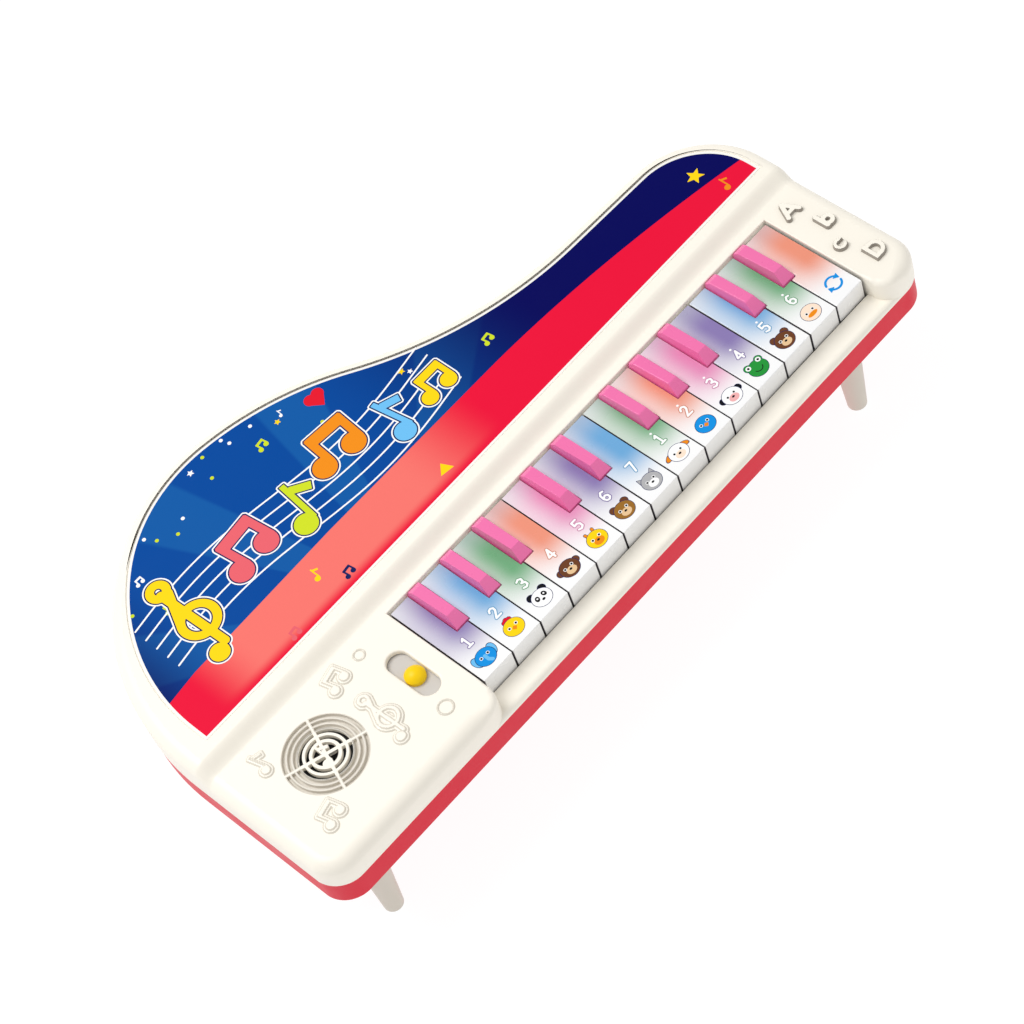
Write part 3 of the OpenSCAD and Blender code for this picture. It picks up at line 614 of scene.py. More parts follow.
class Skin:
    """Collects the points and faces of the shell's outside."""

    def __init__(self):
        self.points, self.faces = [], []

    def add(self, places, heights):
        first = len(self.points)
        self.points += [(x, y, z) for (x, y), z in zip(places, np.broadcast_to(heights, len(places)))]
        return first

    def band(self, lower, upper, size):
        """Faces between two rings of points, each running counterclockwise round the material."""
        for k in range(size):
            after = (k + 1) % size
            self.faces.append((lower + k, lower + after, upper + after, upper + k))

    def edge(self, loop, radius, low, steps=6):
        """A rounded edge along a loop, with the material on its left, and the wall under it.

        Returns the outline of the flat top inside the edge.
        """
        radius = np.broadcast_to(radius, len(loop))
        rings = [(loop, np.broadcast_to(low, len(loop)))]
        rings.append((loop, top_height(loop[:, 1]) - radius - MARGIN))
        for k in range(steps + 1):
            angle = math.pi / 2 * k / steps
            places = inset(loop, radius * (1 - math.cos(angle)))
            rings.append((places, top_height(places[:, 1]) - radius * (1 - math.sin(angle))))
        places = inset(loop, radius + MARGIN)
        rings.append((places, top_height(places[:, 1])))
        indices = [self.add(*ring) for ring in rings]
        for lower, upper in zip(indices, indices[1:]):
            self.band(lower, upper, len(loop))
        return places

    def sheet(self, loops, level=None, lines=()):
        places, faces = fill(loops, lines)
        heights = top_height(places[:, 1]) if level is None else level
        first = self.add(places, heights)
        self.faces += [tuple(first + int(corner) for corner in face) for face in faces]


def shell_outline():
    """Edge of the shell's high part: the body's outline with the ledge and the key opening left out."""
    body = flat_outlines("upper_shell", SEAM)[0]
    front = SHELL_LOW.y
    left, right = WELL_LEFT - BLOCK_CORNER, WELL_RIGHT + BLOCK_CORNER
    on_ledge = (body[:, 1] < front + 0.01) & (body[:, 0] > left - 0.01) & (body[:, 0] < right + 0.01)
    body = body[~on_ledge]
    start = max(range(len(body)), key=lambda k: (body[k, 1] < front + 0.01, body[k, 0] < left, body[k, 0]))
    body = np.roll(body, -start - 1, axis=0)
    turn = [math.radians(angle) for angle in range(0, 91, 10)]
    centre = front + BLOCK_CORNER
    detour = [(left + BLOCK_CORNER * math.sin(a), centre - BLOCK_CORNER * math.cos(a)) for a in turn]
    detour += [(WELL_LEFT, WELL_FRONT), (WELL_LEFT, WELL_BACK)]
    detour += [(WELL_RIGHT, WELL_BACK), (WELL_RIGHT, WELL_FRONT)]
    for a in turn[::-1]:
        detour.append((right - BLOCK_CORNER * math.sin(a), centre - BLOCK_CORNER * math.cos(a)))
    return np.concatenate([body, np.array(detour)])


def edge_radii(loop):
    """Rounding of the high part's edge at each point: wide outside, small beside the keys."""
    x, y = loop[:, 0], loop[:, 1]
    near_keys = (x > WELL_LEFT - 0.01) & (x < WELL_RIGHT + 0.01) & (y < WELL_BACK + 0.01)
    from_well = np.maximum(WELL_LEFT - x, x - WELL_RIGHT)
    share = ease(from_well, 0.5 * BLOCK_CORNER, 2 * BLOCK_CORNER)
    widened = CORNER_ROUND + (OUTER_ROUND - CORNER_ROUND) * share
    radii = np.where(y < SHELL_LOW.y + BLOCK_CORNER, widened, OUTER_ROUND)
    corner = near_keys & (y < WELL_FRONT + 0.5)
    return np.where(near_keys, np.where(corner, WELL_CORNER_ROUND, WELL_ROUND), radii)


# Speaker grille. Its grooves are a little wider and deeper than in the CAD model.
GRILLE_RADIUS = 16.0
GRILLE_PLACE = (-55.2, 26.1)
GROOVE_DEPTH = 1.3
GRILLE_TURN = -20
SPOKE_WIDTH = 1.3


def note(size):
    """A single quaver, about size tall, around the origin."""
    head = disc(-0.22 * size, -0.35 * size, 0.2 * size)
    stem = plate(-0.1 * size, -0.35 * size, 0, 0.5 * size)
    flag = moved(plate(0, 0, 0.36 * size, 0.15 * size), -0.06 * size, 0.27 * size, -30)
    return join(head, stem, flag)


def note_pair(size):
    """Two quavers under one beam."""
    parts = [plate(-0.33 * size, 0.12 * size, 0.33 * size, 0.32 * size)]
    for side in (-0.28, 0.28):
        parts.append(disc((side - 0.13) * size, -0.27 * size, 0.19 * size))
        parts.append(plate((side - 0.065) * size, -0.27 * size, (side + 0.065) * size, 0.3 * size))
    return join(*parts)


def clef(size):
    """A treble clef, a little less than size tall, around the origin."""
    stroke = 0.07 * size
    parts = [
        moved(bar([(0, -0.4 * size), (0, 0.28 * size)], stroke), 0, 0, 2),
        outline(disc(0.02 * size, -0.11 * size, 0.14 * size), stroke),
        outline(disc(0, 0.32 * size, 0.065 * size), stroke),
        moved(bar([(0, 0), (0, 0.32 * size)], stroke), -0.1 * size, -0.04 * size, -26),
        disc(-0.08 * size, -0.44 * size, 0.08 * size),
    ]
    return join(*parts)


def grille_shapes(x, y):
    """The grille's shallow grooves and its through slots."""
    spoke = bar([(-2 * GRILLE_RADIUS, 0), (2 * GRILLE_RADIUS, 0)], SPOKE_WIDTH)
    spokes = join(moved(spoke, 0, 0, 0), moved(spoke, 0, 0, 90))
    rings = [outline(disc(0, 0, share * GRILLE_RADIUS - 0.55), 1.25) for share in (1, 0.87, 0.74)]
    slots = [outline(disc(0, 0, share * GRILLE_RADIUS), 0.09 * GRILLE_RADIUS) for share in (0.585, 0.425)]
    slots.append(disc(0, 0, 0.3 * GRILLE_RADIUS))
    sign = moved(note(10), 0, 0, -GRILLE_TURN)
    return (
        moved(cut(join(*rings), spokes), x, y, GRILLE_TURN),
        moved(cut(join(*slots), spokes, sign), x, y, GRILLE_TURN),
    )


def material_left(loop, hole):
    """The loop, turned round if need be, so that the hole lies on its right."""
    middle, ahead = (loop[0] + loop[1]) / 2, loop[1] - loop[0]
    left = middle + 0.02 * np.array([-ahead[1], ahead[0]]) / np.hypot(*ahead)
    return loop if hole(left[:1], left[1:])[0] > 0 else loop[::-1]


def build_upper_shell():
    skin = Skin()
    edge = subdivided(shell_outline())
    outside = edge[:, 0] < WELL_LEFT - BLOCK_CORNER + 0.01
    outside |= edge[:, 0] > WELL_RIGHT + BLOCK_CORNER - 0.01
    outside |= edge[:, 1] > WELL_BACK + 0.01
    low = np.where(outside, SEAM, np.where(edge[:, 1] < WELL_FRONT, LEDGE_TOP - 1, WELL_LOW))
    top_loops = [skin.edge(edge, edge_radii(edge), low)]
    rim = skin.add(edge, low)
    skin.band(skin.add(inset(edge, np.where(outside, RIM, 0.2)), low), rim, len(edge))

    floor = LID_TOP - RECESS_SHOWN
    recess = inset(flat_outlines("upper_shell", LID_TOP - RECESS_DEPTH)[0], GROOVE_NARROWED)
    top_loops.append(skin.edge(recess[::-1], RECESS_ROUND, floor, steps=3))
    skin.sheet([recess, inset(recess, 2.0)], floor)

    slot_x, slot_y = KEYS_LEFT + SWITCH_PLACE[0], KEYS_FRONT + SWITCH_PLACE[1]
    slot = bar([(slot_x, slot_y - SLOT_HALF), (slot_x, slot_y + SLOT_HALF)], SLOT_WIDTH)
    grille_x, grille_y = KEYS_LEFT + GRILLE_PLACE[0], KEYS_FRONT + GRILLE_PLACE[1]
    grooves, slots = grille_shapes(grille_x, grille_y)
    # Each hole: its shape and middle, the step between samples, the rounding of its edge, its depth
    holes = [
        (slot, (slot_x, slot_y), 0.2, 0.7, 2.0),
        (grooves, (grille_x, grille_y), 0.12, 0.08, GROOVE_DEPTH),
        (slots, (grille_x, grille_y), 0.12, 0.08, 2.0),
    ]
    for shape, (x, y), step, radius, depth in holes:
        window = (x - 18, y - 18, x + 18, y + 18)
        first = len(skin.faces)
        loops = [material_left(simplify(loop, 0.015), shape) for loop in contours(shape, window, step)]
        for loop in loops:
            top_loops.append(skin.edge(loop, radius, BLOCK_TOP - depth, steps=3))
        # The groove floors take the second material, a darker cream that is painted shade
        if depth == GROOVE_DEPTH:
            skin.sheet(loops, BLOCK_TOP - depth)
            painted_shade_faces = range(first, len(skin.faces))

    west, east = SHELL_LOW.x + OUTER_ROUND + MARGIN, SHELL_HIGH.x - OUTER_ROUND - MARGIN
    skin.sheet(top_loops, lines=[((west, y), (east, y)) for y in STEP_LINES])

    left, right = WELL_LEFT - BLOCK_CORNER, WELL_RIGHT + BLOCK_CORNER
    front, flat = SHELL_LOW.y, LEDGE_ROUND + MARGIN
    profile = [(front + RIM, SEAM), (front, SEAM), (front, LEDGE_TOP - flat)]
    for k in range(6):
        angle = math.pi / 2 * k / 5
        away, down = LEDGE_ROUND * (1 - math.cos(angle)), LEDGE_ROUND * (1 - math.sin(angle))
        profile.append((front + away, LEDGE_TOP - down))
    profile += [(front + flat, LEDGE_TOP), (WELL_FRONT - MARGIN, LEDGE_TOP)]
    profile += [(WELL_FRONT, LEDGE_TOP - MARGIN), (WELL_FRONT, WELL_LOW)]
    first = len(skin.points)
    for x in (left, right):
        skin.points += [(x, y, z) for y, z in profile]
    size = len(profile)
    for k in range(size - 1):
        skin.faces.append((first + k + 1, first + k, first + size + k, first + size + k + 1))
    materials = [MATERIALS["cream_plastic"].material, MATERIALS["groove_shade"].material]
    indices = [int(k in painted_shade_faces) for k in range(len(skin.faces))]
    shell = new_piece("upper_casing", skin.points, skin.faces, materials, indices=indices, smooth=True)
    shell.data.set_sharp_from_angle(angle=math.radians(40))
    weld = shell.modifiers.new("weld", "WELD")
    weld.merge_threshold = 0.001 * MM
    normals = shell.modifiers.new("normals", "WEIGHTED_NORMAL")
    normals.keep_sharp = True
    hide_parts("upper_shell")


build_upper_shell()


def relief(name, shape, window, profile, step, painted_shade):
    """A raised sign on the block. Its height follows the distance to the sign's outline. Its steep walls
    take a darker material as painted shade.
    """
    px, py = np.meshgrid(*samples(window, step))
    distance = shape(px, py)
    height = profile(distance)
    kept = height > 0.004
    cells = kept[:-1, :-1] | kept[:-1, 1:] | kept[1:, 1:] | kept[1:, :-1]
    used = np.zeros(kept.shape, bool)
    for dj in (0, 1):
        for di in (0, 1):
            used[dj:dj + cells.shape[0], di:di + cells.shape[1]] |= cells
    number = np.cumsum(used.ravel()).reshape(used.shape) - 1
    points = np.stack([px[used], py[used], BLOCK_TOP - 0.02 + height[used]], axis=1)
    faces = []
    for j, i in np.argwhere(cells):
        faces.append((number[j, i], number[j, i + 1], number[j + 1, i + 1], number[j + 1, i]))
    corners = np.stack([height[:-1, :-1], height[:-1, 1:], height[1:, 1:], height[1:, :-1]])
    # Steep faces, the walls, take the second material: painted shade
    steep = (np.ptp(corners, axis=0) > STEEP * step)[cells]
    materials = [MATERIALS["cream_plastic"].material, MATERIALS[painted_shade].material]
    new_piece(name, points, faces, materials, indices=steep.astype(int), smooth=True)


SIGN_BORDER = 1.1
# Lean of the notes to the left, in degrees
NOTE_LEAN = 14
# Slope above which a sign's face counts as its wall, which is painted darker as shade
STEEP = 0.5


def bordered(distance):
    """Profile of a sign that stands on a low border."""
    return 0.5 * ease(SIGN_BORDER - distance, 0, 0.6) + embossed(distance)


def embossed(distance):
    return 0.5 * ease(-distance, -0.1, 0.5)


def lettered(distance):
    return 1.5 * ease(-distance, -0.1, 0.15)


def letter_shapes():
    """Letters as tall as 1, standing on the X axis."""
    legs = bar([(-0.36, 0.13), (0, 0.87), (0.36, 0.13)], 0.27)
    big_a = join(legs, bar([(-0.22, 0.33), (0.22, 0.33)], 0.22))
    small_b = join(bar([(-0.24, 0.13), (-0.24, 0.87)], 0.27), outline(disc(0.0, 0.34, 0.22), 0.26))
    small_c = cut(outline(disc(0, 0.5, 0.35), 0.31), plate(0.12, 0.32, 1.2, 0.68))
    half = join(plate(-0.4, 0, 0, 1), disc(0, 0.5, 0.5))
    hollow = join(plate(-0.14, 0.26, 0, 0.74), disc(0, 0.5, 0.24))
    big_d = cut(overlap(half, plate(-0.4, -1, 2, 2)), overlap(hollow, plate(-0.14, -1, 2, 2)))
    return big_a, small_b, small_c, big_d


def place_reliefs():
    signs = [
        ("sign_pair_back", moved(note_pair(11.4), 0, 0, NOTE_LEAN), -31.2, 45, 9, bordered),
        ("sign_pair_front", moved(note_pair(11.4), 0, 0, NOTE_LEAN), -70.5, 8.4, 9, bordered),
        ("sign_note", moved(note(10), 0, 0, NOTE_LEAN), -71.6, 42.8, 9, bordered),
        ("sign_clef", clef(28), -31.8, 20.6, 17, bordered),
        ("ring_back", outline(disc(0, 0, 2.15), 0.9), -19.1, 44.4, 4, embossed),
        ("ring_front", outline(disc(0, 0, 2.95), 0.9), -15.9, 3.5, 5, embossed),
    ]
    letter_places = [(218.7, 39, 8.5), (223.5, 24.6, 8.5), (217.2, 13.4, 5.6), (222.6, -0.2, 8.2)]
    for name, shape, (x, y, size) in zip("abcd", letter_shapes(), letter_places):
        signs.append(("letter_" + name, moved(shape, 0, 0, 0, size), x, y, 10, lettered))
    for name, shape, x, y, reach, profile in signs:
        x, y = KEYS_LEFT + x, KEYS_FRONT + y
        window = (x - reach, y - reach, x + reach, y + reach)
        is_letter = profile is lettered
        step, painted_shade = (0.2, "letter_shade") if is_letter else (0.25, "sign_shade")
        relief(name, moved(shape, x, y), window, profile, step, painted_shade)


place_reliefs()

# ---------------- prints

INKS = {
    "white": (252, 252, 252), "black": (22, 22, 26), "grey": (178, 178, 180), "navy": (22, 34, 92),
    "orange": (240, 142, 26), "yellow": (255, 214, 20), "lime": (206, 222, 40), "leaf": (40, 150, 60),
    "blue": (22, 146, 226), "sky": (110, 190, 240), "red": (226, 24, 46), "coral": (232, 100, 110),
    "rose": (242, 178, 178), "skin": (252, 228, 206), "tan": (232, 196, 150), "brown": (156, 108, 44),
    "cocoa": (110, 66, 40),
}
ink_materials = {}
# Height of one layer of ink over the one below it
LAYER_RISE = 0.004


def ink_material(colour):
    if colour not in ink_materials:
        ink_materials[colour] = printed("ink_" + colour, srgb(*INKS[colour])).material
    return ink_materials[colour]


class Print:
    """Ink on a flat face: layers of plain colour, each a hair above the one before."""

    def __init__(self, name, level, window, body="casing", slot="label_print", step=0.15, first_layer=2):
        self.name, self.level, self.window, self.first_layer = name, level, window, first_layer
        self.body, self.slot, self.step = body, slot, step
        self.layers, self.solids = [], []

    def ink(self, colour, *shapes):
        self.layers.append((colour, join(*shapes)))

    def part(self, colour, *shapes, line=0.52):
        """A filled shape with a navy line round it."""
        shape = join(*shapes)
        self.solids.append(shape)
        self.ink("navy", grow(shape, line))
        self.ink(colour, shape)

    def border(self, width):
        """White paper left round all the parts."""
        self.layers.insert(0, ("white", grow(join(*self.solids), width)))

    def done(self):
        points, faces, indices, colours = [], [], [], []
        for layer, (colour, shape) in enumerate(self.layers):
            loops = [simplify(loop, 0.03) for loop in contours(shape, self.window, self.step)]
            loops = [loop for loop in loops if len(loop) > 2]
            if not loops:
                continue
            places, found = fill(loops)
            if colour not in colours:
                colours.append(colour)
            height = self.level + LAYER_RISE * (self.first_layer + layer)
            faces += [tuple(len(points) + int(corner) for corner in face) for face in found]
            indices += [colours.index(colour)] * len(found)
            points += [(x, y, height) for x, y in places]
        materials = [ink_material(colour) for colour in colours]
        return new_piece(self.name, points, faces, materials, self.body, indices)


# Where the red lower field of the lid's sheet meets the blue one
FIELD_BORDER = [(-155, 9.2), (-132.4, 11.7), (-60, 13.0), (25, 12.4)]
FIELD_BORDER += [(25 + 5.6 * k, 12.4 - 16.5 * (k / 24) ** 1.8) for k in range(1, 25)]


def along(points, x):
    """Height of a line through the points at x."""
    places = sorted(points)
    return np.interp(x, [px for px, _ in places], [py for _, py in places])


def field_materials():
    """The blue field with faint rays and a navy end, and the red field with a coral glow."""
    blue = printed("label_blue", srgb(0, 60, 150))
    x, y, _ = blue.axes()
    middle = blue.product(blue.ramp(x, -158, -118), blue.ramp(x, 60, -30))
    angle = blue.math("ARCTAN2", blue.math("ADD", y, 40), blue.math("ADD", x, 60))
    rays = blue.ramp(blue.math("SINE", blue.product(angle, 11)), 0.25, 0.45)
    field = blue.mix(middle, srgb(2, 4, 88), srgb(0, 72, 154))
    blue.colour(blue.mix(blue.product(middle, 0.1, rays), field, srgb(60, 170, 225)))

    red = printed("label_red", srgb(236, 20, 61))
    x, y, _ = red.axes()
    glow = red.product(red.ramp(x, -138, -112), red.ramp(x, 14, -28), red.ramp(y, -11.0, -5.5), 0.8)
    red.colour(red.mix(glow, srgb(234, 18, 58), srgb(246, 130, 118)))
    return blue, red


def print_fields():
    """The two fields, inside a white margin of 1 mm."""
    edge = inset(flat_outlines("lid_label", LABEL_TOP)[0], 1.0)
    cuts = list(zip(FIELD_BORDER, FIELD_BORDER[1:]))
    places, faces = fill([edge], cuts)
    middles = places[faces].mean(axis=1)
    upper = middles[:, 1] > along(FIELD_BORDER, middles[:, 0])
    height = LABEL_TOP + LAYER_RISE
    points = [(x, y, height) for x, y in places]
    for name, shader, chosen in zip(("sheet_blue", "sheet_red"), field_materials(), (upper, ~upper)):
        new_piece(name, points, faces[chosen], [shader.material])


def label_print(name, *window, first_layer=2):
    return Print(name, LABEL_TOP, window, first_layer=first_layer)


# The staff: height of its lowest line, space between lines, height of its waves
STAFF_LOW = 18
STAFF_SPACE = 6
STAFF_WAVE = 4
# White paper left round the clef and the large notes
PAPER_BORDER = 1.1


def print_staff():
    """Five wavy lines of a music staff along the wide end of the sheet."""
    draw = label_print("print_staff", -142, 8, 26, 56, first_layer=14)
    for line in range(5):
        height = STAFF_LOW + STAFF_SPACE * line
        points = [(x, height + STAFF_WAVE * math.sin((x + 138) / 24)) for x in range(-134, 19, 4)]
        draw.ink("white", bar(points, 0.7))
    draw.done()


def print_clef():
    draw = label_print("print_clef", -140, -4, -96, 60, first_layer=20)
    draw.part("yellow", moved(clef(50), -117, 32))
    draw.border(PAPER_BORDER)
    draw.done()


def print_big_notes():
    """Large plain notes on the staff."""
    draw = label_print("print_big_notes", -100, 2, 34, 66, first_layer=28)
    signs = [
        ("coral", note_pair(26), -82, 36, 6),
        ("lime", note(24), -57, 30, -6),
        ("orange", note_pair(26), -30, 40, -5),
        ("sky", note(22), -8, 28, 8),
        ("yellow", note_pair(18), 12, 27, 0),
    ]
    for colour, shape, x, y, turn in signs:
        draw.part(colour, moved(shape, x, y, turn))
    draw.border(PAPER_BORDER)
    draw.done()


def dots(*places):
    return join(*(disc(x, y, 0.8) for x, y in places))


def print_marks():
    """Small notes, stars, dots, a heart and a triangle."""
    draw = label_print("print_marks", -140, -11, 150, 81)
    draw.step = 0.2
    point = poly((-25.2, 59.4), (-20.9, 54.2), (-16.5, 59.4))
    draw.ink("red", disc(-22.8, 60.4, 2.6), disc(-18.9, 60.4, 2.6), point)
    triangle = poly((-18.6, -5.6), (-12.6, -6.6), (-14.8, -1.4))
    stars = join(star(138.6, 6.6, 4.0, 10), star(-37.1, 64.1, 1.6), star(6.9, 40, 1.7))
    draw.ink("yellow", triangle, moved(note(6), -76.2, 4), stars)
    for x, y in ((-47.7, 62.1), (37.1, 22.8), (-118.8, 40.1)):
        draw.ink("lime", moved(note_pair(5.6), x, y, 8))
    draw.ink("navy", moved(note_pair(5.6), -68.2, -5.2, 8))
    draw.ink("coral", moved(note_pair(5.6), -98.5, -7, 8))
    draw.ink("orange", moved(note(6.4), 142.8, -5.4))
    notes = join(*(moved(note(3.6), x, y) for x, y in ((-33.5, 66.3), (-113.6, 43.5))))
    stars = join(star(-73.1, 75.8, 1.7), star(8.9, 37.2, 1.4))
    draw.ink("white", moved(note_pair(4.4), -117.7, 57.6), notes, stars)
    draw.ink("white", dots((-44.6, 71.7), (-55.8, 76.6), (-54.7, 72.9), (-88.9, 63.6), (-104.2, 69.3)))
    west = dots((-94.8, 60.1), (-101.6, 64.8), (-129.9, 48.6))
    draw.ink("lime", dots((-35.1, 49.3), (-27, 49.5), (-65.4, 77.1), (-69.7, 67.2)), west)
    draw.done()


print_fields()
print_marks()
print_staff()
print_clef()
print_big_notes()

# ---------------- white keys

KEY_TINTS = {
    "purple": (118, 96, 168), "blue": (74, 158, 214), "green": (76, 160, 98), "orange": (236, 132, 96),
    "pink": (226, 120, 176),
}
KEY_COLOURS = ["purple", "blue", "green", "orange", "pink", "purple", "blue"]
KEY_COLOURS += ["green", "orange", "pink", "purple", "blue", "green", "orange"]
KEY_WHITE = srgb(250, 250, 250)
for colour, (red, green, blue) in KEY_TINTS.items():
    INKS["pale_" + colour] = ((2 * red + 160) // 3, (2 * green + 160) // 3, (2 * blue + 160) // 3)

# Strokes of the digits, in a box from -0.3 to 0.3 across and 0 to 1 up
DIGITS = {
    1: [[(-0.14, 0.78), (0.04, 0.96), (0.04, 0.03)], [(-0.17, 0.03), (0.25, 0.03)]],
    2: [[(-0.24, 0.74), (-0.14, 0.92), (0.05, 0.97), (0.22, 0.84), (0.2, 0.6), (-0.24, 0.03),
         (0.26, 0.03)]],
    3: [[(-0.22, 0.87), (0, 0.97), (0.2, 0.84), (0.17, 0.62), (-0.04, 0.53), (0.21, 0.41), (0.22, 0.15),
         (0, 0.02), (-0.23, 0.12)]],
    4: [[(0.12, 0.03), (0.12, 0.96), (-0.26, 0.3), (0.28, 0.3)]],
    5: [[(0.22, 0.96), (-0.18, 0.96), (-0.21, 0.57), (0.05, 0.61), (0.23, 0.44), (0.21, 0.15), (0, 0.02),
         (-0.23, 0.12)]],
    6: [[(0.19, 0.91), (0, 0.97), (-0.2, 0.75), (-0.24, 0.33), (-0.14, 0.08), (0.05, 0.02), (0.22, 0.15),
         (0.22, 0.39), (0.04, 0.53), (-0.2, 0.4)]],
    7: [[(-0.24, 0.96), (0.25, 0.96), (-0.03, 0.03)]],
}
DIGIT_HEIGHT = 4.9
DIGIT_PLACE = (8.0, 13.9)
ICON_SIZE = 1.28
ICON_PLACE = (7.9, 6.4)
ICON_LINE = 0.16
# Height of a face's eyes over its middle
EYE_Y = 0.5

# Each animal: head colour, kind of ears, their colour, kind or colour of the muzzle
ANIMALS = [
    ("blue", "flap", "sky", None),
    ("yellow", "comb", "red", "beak"),
    ("white", "round", "black", "patch"),
    ("cocoa", "side", "cocoa", "tan"),
    ("yellow", "horn", "orange", "orange"),
    ("brown", "round", "cocoa", "tan"),
    ("grey", "point", "grey", "white"),
    ("white", "droop", "orange", "skin"),
    ("blue", "none", None, "beak"),
    ("white", "side", "black", "rose"),
    ("leaf", "bulge", "leaf", "smile"),
    ("cocoa", "round", "cocoa", "tan"),
    ("skin", "none", None, "bill"),
]


def both(shape):
    """The shape and its mirror image across the Y axis."""
    return shape, lambda px, py: shape(-px, py)


# Ears of each kind. The shapes in one bracket share a line round them.
EARS = {
    "none": [],
    "round": [both(disc(-2.2, 2.2, 1.2))],
    "bulge": [both(disc(-2.2, 2.2, 1.2))],
    "side": [both(disc(-3.1, 0.6, 1.1))],
    "flap": [both(oval(-2.9, 0.5, 1.3, 2.0, 12))],
    "droop": [both(oval(-3.1, 0.8, 1.5, 0.8, 24))],
    "horn": [both(bar([(-1.1, 2), (-1.4, 3.5)], 0.8))],
    "point": [[tip] for tip in both(poly((-0.9, 2.0), (-2.7, 3.5), (-2.9, 1.0)))],
    "comb": [(disc(-0.8, 3.0, 0.7), disc(0.1, 3.3, 0.8), disc(1.0, 3.0, 0.7))],
}


def key_shader(index, name):
    """White plastic whose top is printed with a colour that fades to white towards the player. Its sides
    are dark grey below the top edge, painted shade for the gaps between the keys.
    """
    left = KEYS_LEFT + index * KEY_PITCH
    shader = moulded(name, KEY_WHITE, (0.22, 0.32), depth=0.001, coat=0.1)
    x, y, z = shader.axes()
    tint = srgb(*KEY_TINTS[KEY_COLOURS[index]])
    muted = shader.mix(0.55, tint, srgb(190, 191, 202))
    rear = shader.mix(shader.ramp(y, KEYS_FRONT + 34, KEYS_BACK + 1), tint, muted)
    across = shader.math("ADD", 0.45, shader.product(shader.ramp(x, left, left + 11), 0.55))
    front = shader.ramp(y, KEYS_FRONT + 5, KEYS_FRONT + 24)
    top = shader.ramp(z, KEY_TOP - 0.35, KEY_TOP - 0.05)
    face = shader.mix(shader.product(front, across, top, 0.92), KEY_WHITE, rear)
    # Painted shade: the key's sides turn dark grey just below the top edge, standing in for the shadow in
    # the gaps
    side = shader.math("ABSOLUTE", shader.math("SUBTRACT", x, left + KEY_PITCH / 2))
    painted_shade = shader.product(shader.ramp(side, 6.95, 7.1), shader.ramp(z, KEY_TOP - 0.2, KEY_TOP - 0.5))
    shader.colour(shader.mix(painted_shade, face, srgb(96, 92, 98)))
    return shader


def draw_animal(draw, head, ears, ear_colour, muzzle):
    """An animal's face about 7.5 mm wide, around the origin."""
    for shapes in EARS[ears]:
        draw.part(ear_colour, *shapes, line=ICON_LINE)
    draw.part(head, oval(0, 0, 3.2, 2.9), line=ICON_LINE)
    if muzzle == "patch":
        draw.ink("black", *both(oval(-1.3, EYE_Y, 0.75, 0.95, -20)), oval(0, -0.8, 0.55, 0.4))
        draw.ink("white", *both(disc(-1.25, EYE_Y + 0.1, 0.3)))
        return
    if muzzle == "smile":
        draw.ink("white", *both(disc(-2.1, 2.1, 0.85)))
        draw.ink("black", *both(disc(-2.1, 2.1, 0.4)), arc(0, 0.3, 1.5, 200, 340, 0.28))
        return
    if muzzle == "beak":
        draw.ink("orange", poly((-0.9, -0.3), (0, 0.4), (0.9, -0.3), (0, -1.2)))
    elif muzzle == "bill":
        draw.ink("orange", oval(0, -0.8, 1.8, 0.75))
    elif ears == "flap":
        draw.ink("sky", bar([(0, 0.4), (0, -1.2), (0.7, -2.1)], 1.1))
    elif muzzle:
        draw.ink(muzzle, oval(0, -0.9, 1.7, 1.3))
        draw.ink("black", oval(0, -0.5, 0.5, 0.35))
    draw.ink("white", *both(disc(-1.3, EYE_Y, 0.55)))
    draw.ink("black", *both(disc(-1.3, EYE_Y, 0.36)))


def draw_turn_arrows(draw, x, y):
    """Two arrows that chase each other round a circle."""
    radius = 3.1
    head = poly((-1.5, 1.0), (1.5, 1.0), (0, -1.3))
    for start in (20, 200):
        angle = math.radians(start)
        tip = moved(head, x + radius * math.cos(angle), y + radius * math.sin(angle), start)
        draw.ink("blue", arc(x, y, radius, start + 14, start + 140, 0.95), tip)


def print_keys():
    """A small face and a digit on each white key, and two turning arrows on the last."""
    for index, name in enumerate(WHITE_KEYS):
        left = KEYS_LEFT + index * KEY_PITCH
        window = (left + 1, KEYS_FRONT + 1, left + 14, KEYS_FRONT + 21)
        draw = Print("print_" + name, KEY_TOP, window, body=name, slot="white_key_plastic", step=0.1)
        icon_x, icon_y = left + ICON_PLACE[0], KEYS_FRONT + ICON_PLACE[1]
        if index == len(ANIMALS):
            draw_turn_arrows(draw, icon_x, icon_y + 1.5)
        else:
            draw_animal(draw, *ANIMALS[index])
            draw.border(0.2)
            draw.layers = [
                (colour, moved(shape, icon_x, icon_y, 0, ICON_SIZE)) for colour, shape in draw.layers
            ]
            x, y = left + DIGIT_PLACE[0], KEYS_FRONT + DIGIT_PLACE[1]
            strokes = []
            for stroke in DIGITS[index % len(DIGITS) + 1]:
                strokes.append([(x + DIGIT_HEIGHT * u, y + DIGIT_HEIGHT * v) for u, v in stroke])
            draw.ink("pale_" + KEY_COLOURS[index], *(bar(stroke, 1.5) for stroke in strokes))
            draw.ink("white", *(bar(stroke, 0.85) for stroke in strokes))
            if index >= len(DIGITS):
                draw.ink("white", disc(x, y + DIGIT_HEIGHT + 1.5, 0.5))
        draw.done()


for index, name in enumerate(WHITE_KEYS):
    set_material(frame["nodes"][name], key_shader(index, name))
print_keys()

# ---------------- camera, light and floor

CAMERA_AT = (-347.5, -643.5, 1040.1)
CAMERA_AZIMUTH = math.radians(-28.796)
CAMERA_ELEVATION = math.radians(54.592)
CAMERA_ROLL = math.radians(22.128)
CAMERA_LENS = 115.94
SENSOR_WIDTH = 36
# Distance in metres beyond which the camera sees nothing
CAMERA_REACH_m = 20
# Light from all round, the floor's half side in metres, its own glow, and where the lamps point, in metres
WORLD_LIGHT = 0.56
FLOOR_HALF_m = 6
FLOOR_GLOW = 0.93
LAMP_TARGET_m = (0, 0, 0.05)


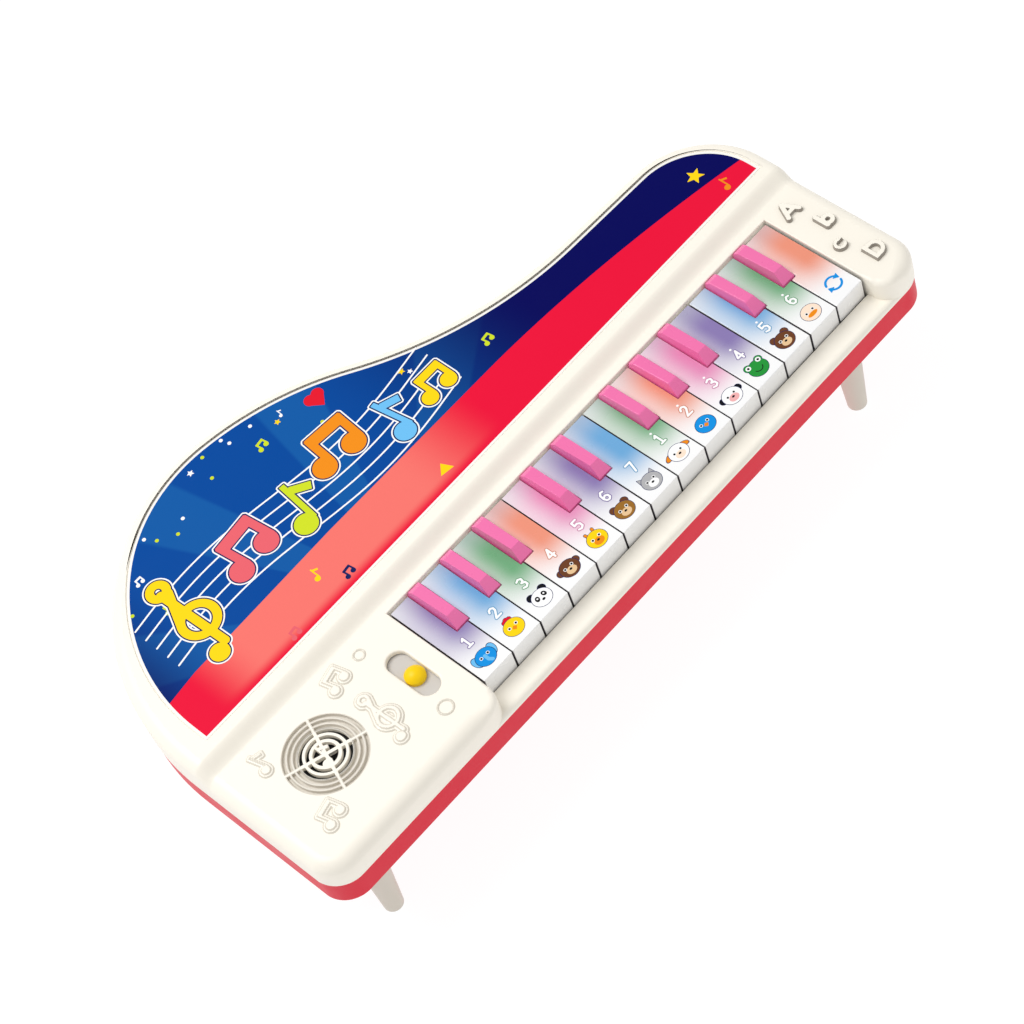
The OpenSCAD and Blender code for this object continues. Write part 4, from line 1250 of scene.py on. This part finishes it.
def place_camera():
    back = Vector((
        math.sin(CAMERA_AZIMUTH) * math.cos(CAMERA_ELEVATION),
        -math.cos(CAMERA_AZIMUTH) * math.cos(CAMERA_ELEVATION),
        math.sin(CAMERA_ELEVATION),
    ))
    level = (-back).cross(Vector((0, 0, 1))).normalized()
    down = (-back).cross(level)
    right = math.cos(CAMERA_ROLL) * level + math.sin(CAMERA_ROLL) * down
    up = math.sin(CAMERA_ROLL) * level - math.cos(CAMERA_ROLL) * down
    camera = put_in_scene("camera", bpy.data.cameras.new("camera"))
    camera.data.sensor_width = SENSOR_WIDTH
    camera.data.lens = CAMERA_LENS
    camera.data.clip_end = CAMERA_REACH_m
    turn = Matrix((right, up, back)).transposed()
    camera.matrix_world = Matrix.Translation(Vector(CAMERA_AT) * MM) @ turn.to_4x4()
    bpy.context.scene.camera = camera


def area_light(name, place, size, power):
    """A round lamp, with its place and size in metres."""
    lamp = bpy.data.lights.new(name, "AREA")
    lamp.shape = "DISK"
    lamp.size = size
    lamp.energy = power
    obj = put_in_scene(name, lamp)
    obj.location = place
    obj.rotation_euler = (Vector(LAMP_TARGET_m) - Vector(place)).to_track_quat("-Z", "Y").to_euler()


def studio():
    place_camera()
    area_light("key_light", (-0.5, 0.7, 1.6), 1.2, 19)
    area_light("fill_light", (0.7, -1.1, 1.3), 1.6, 2)
    world = bpy.data.worlds.new("studio")
    world.use_nodes = True
    sky = world.node_tree.nodes["Background"]
    sky.inputs["Color"].default_value = (1, 1, 1, 1)
    sky.inputs["Strength"].default_value = WORLD_LIGHT
    bpy.context.scene.world = world
    bpy.context.scene.view_settings.view_transform = "Standard"
    mesh = bpy.data.meshes.new("floor")
    far = FLOOR_HALF_m
    mesh.from_pydata([(-far, -far, 0), (far, -far, 0), (far, far, 0), (-far, far, 0)], [], [(0, 1, 2, 3)])
    floor = put_in_scene("floor", mesh)
    paper = moulded("floor_paper", (0.12, 0.12, 0.12, 1), (0.8, 0.9), grain=2)
    paper.set(Emission_Color=(1, 1, 1, 1), Emission_Strength=FLOOR_GLOW)
    floor.data.materials.append(paper.material)


studio()
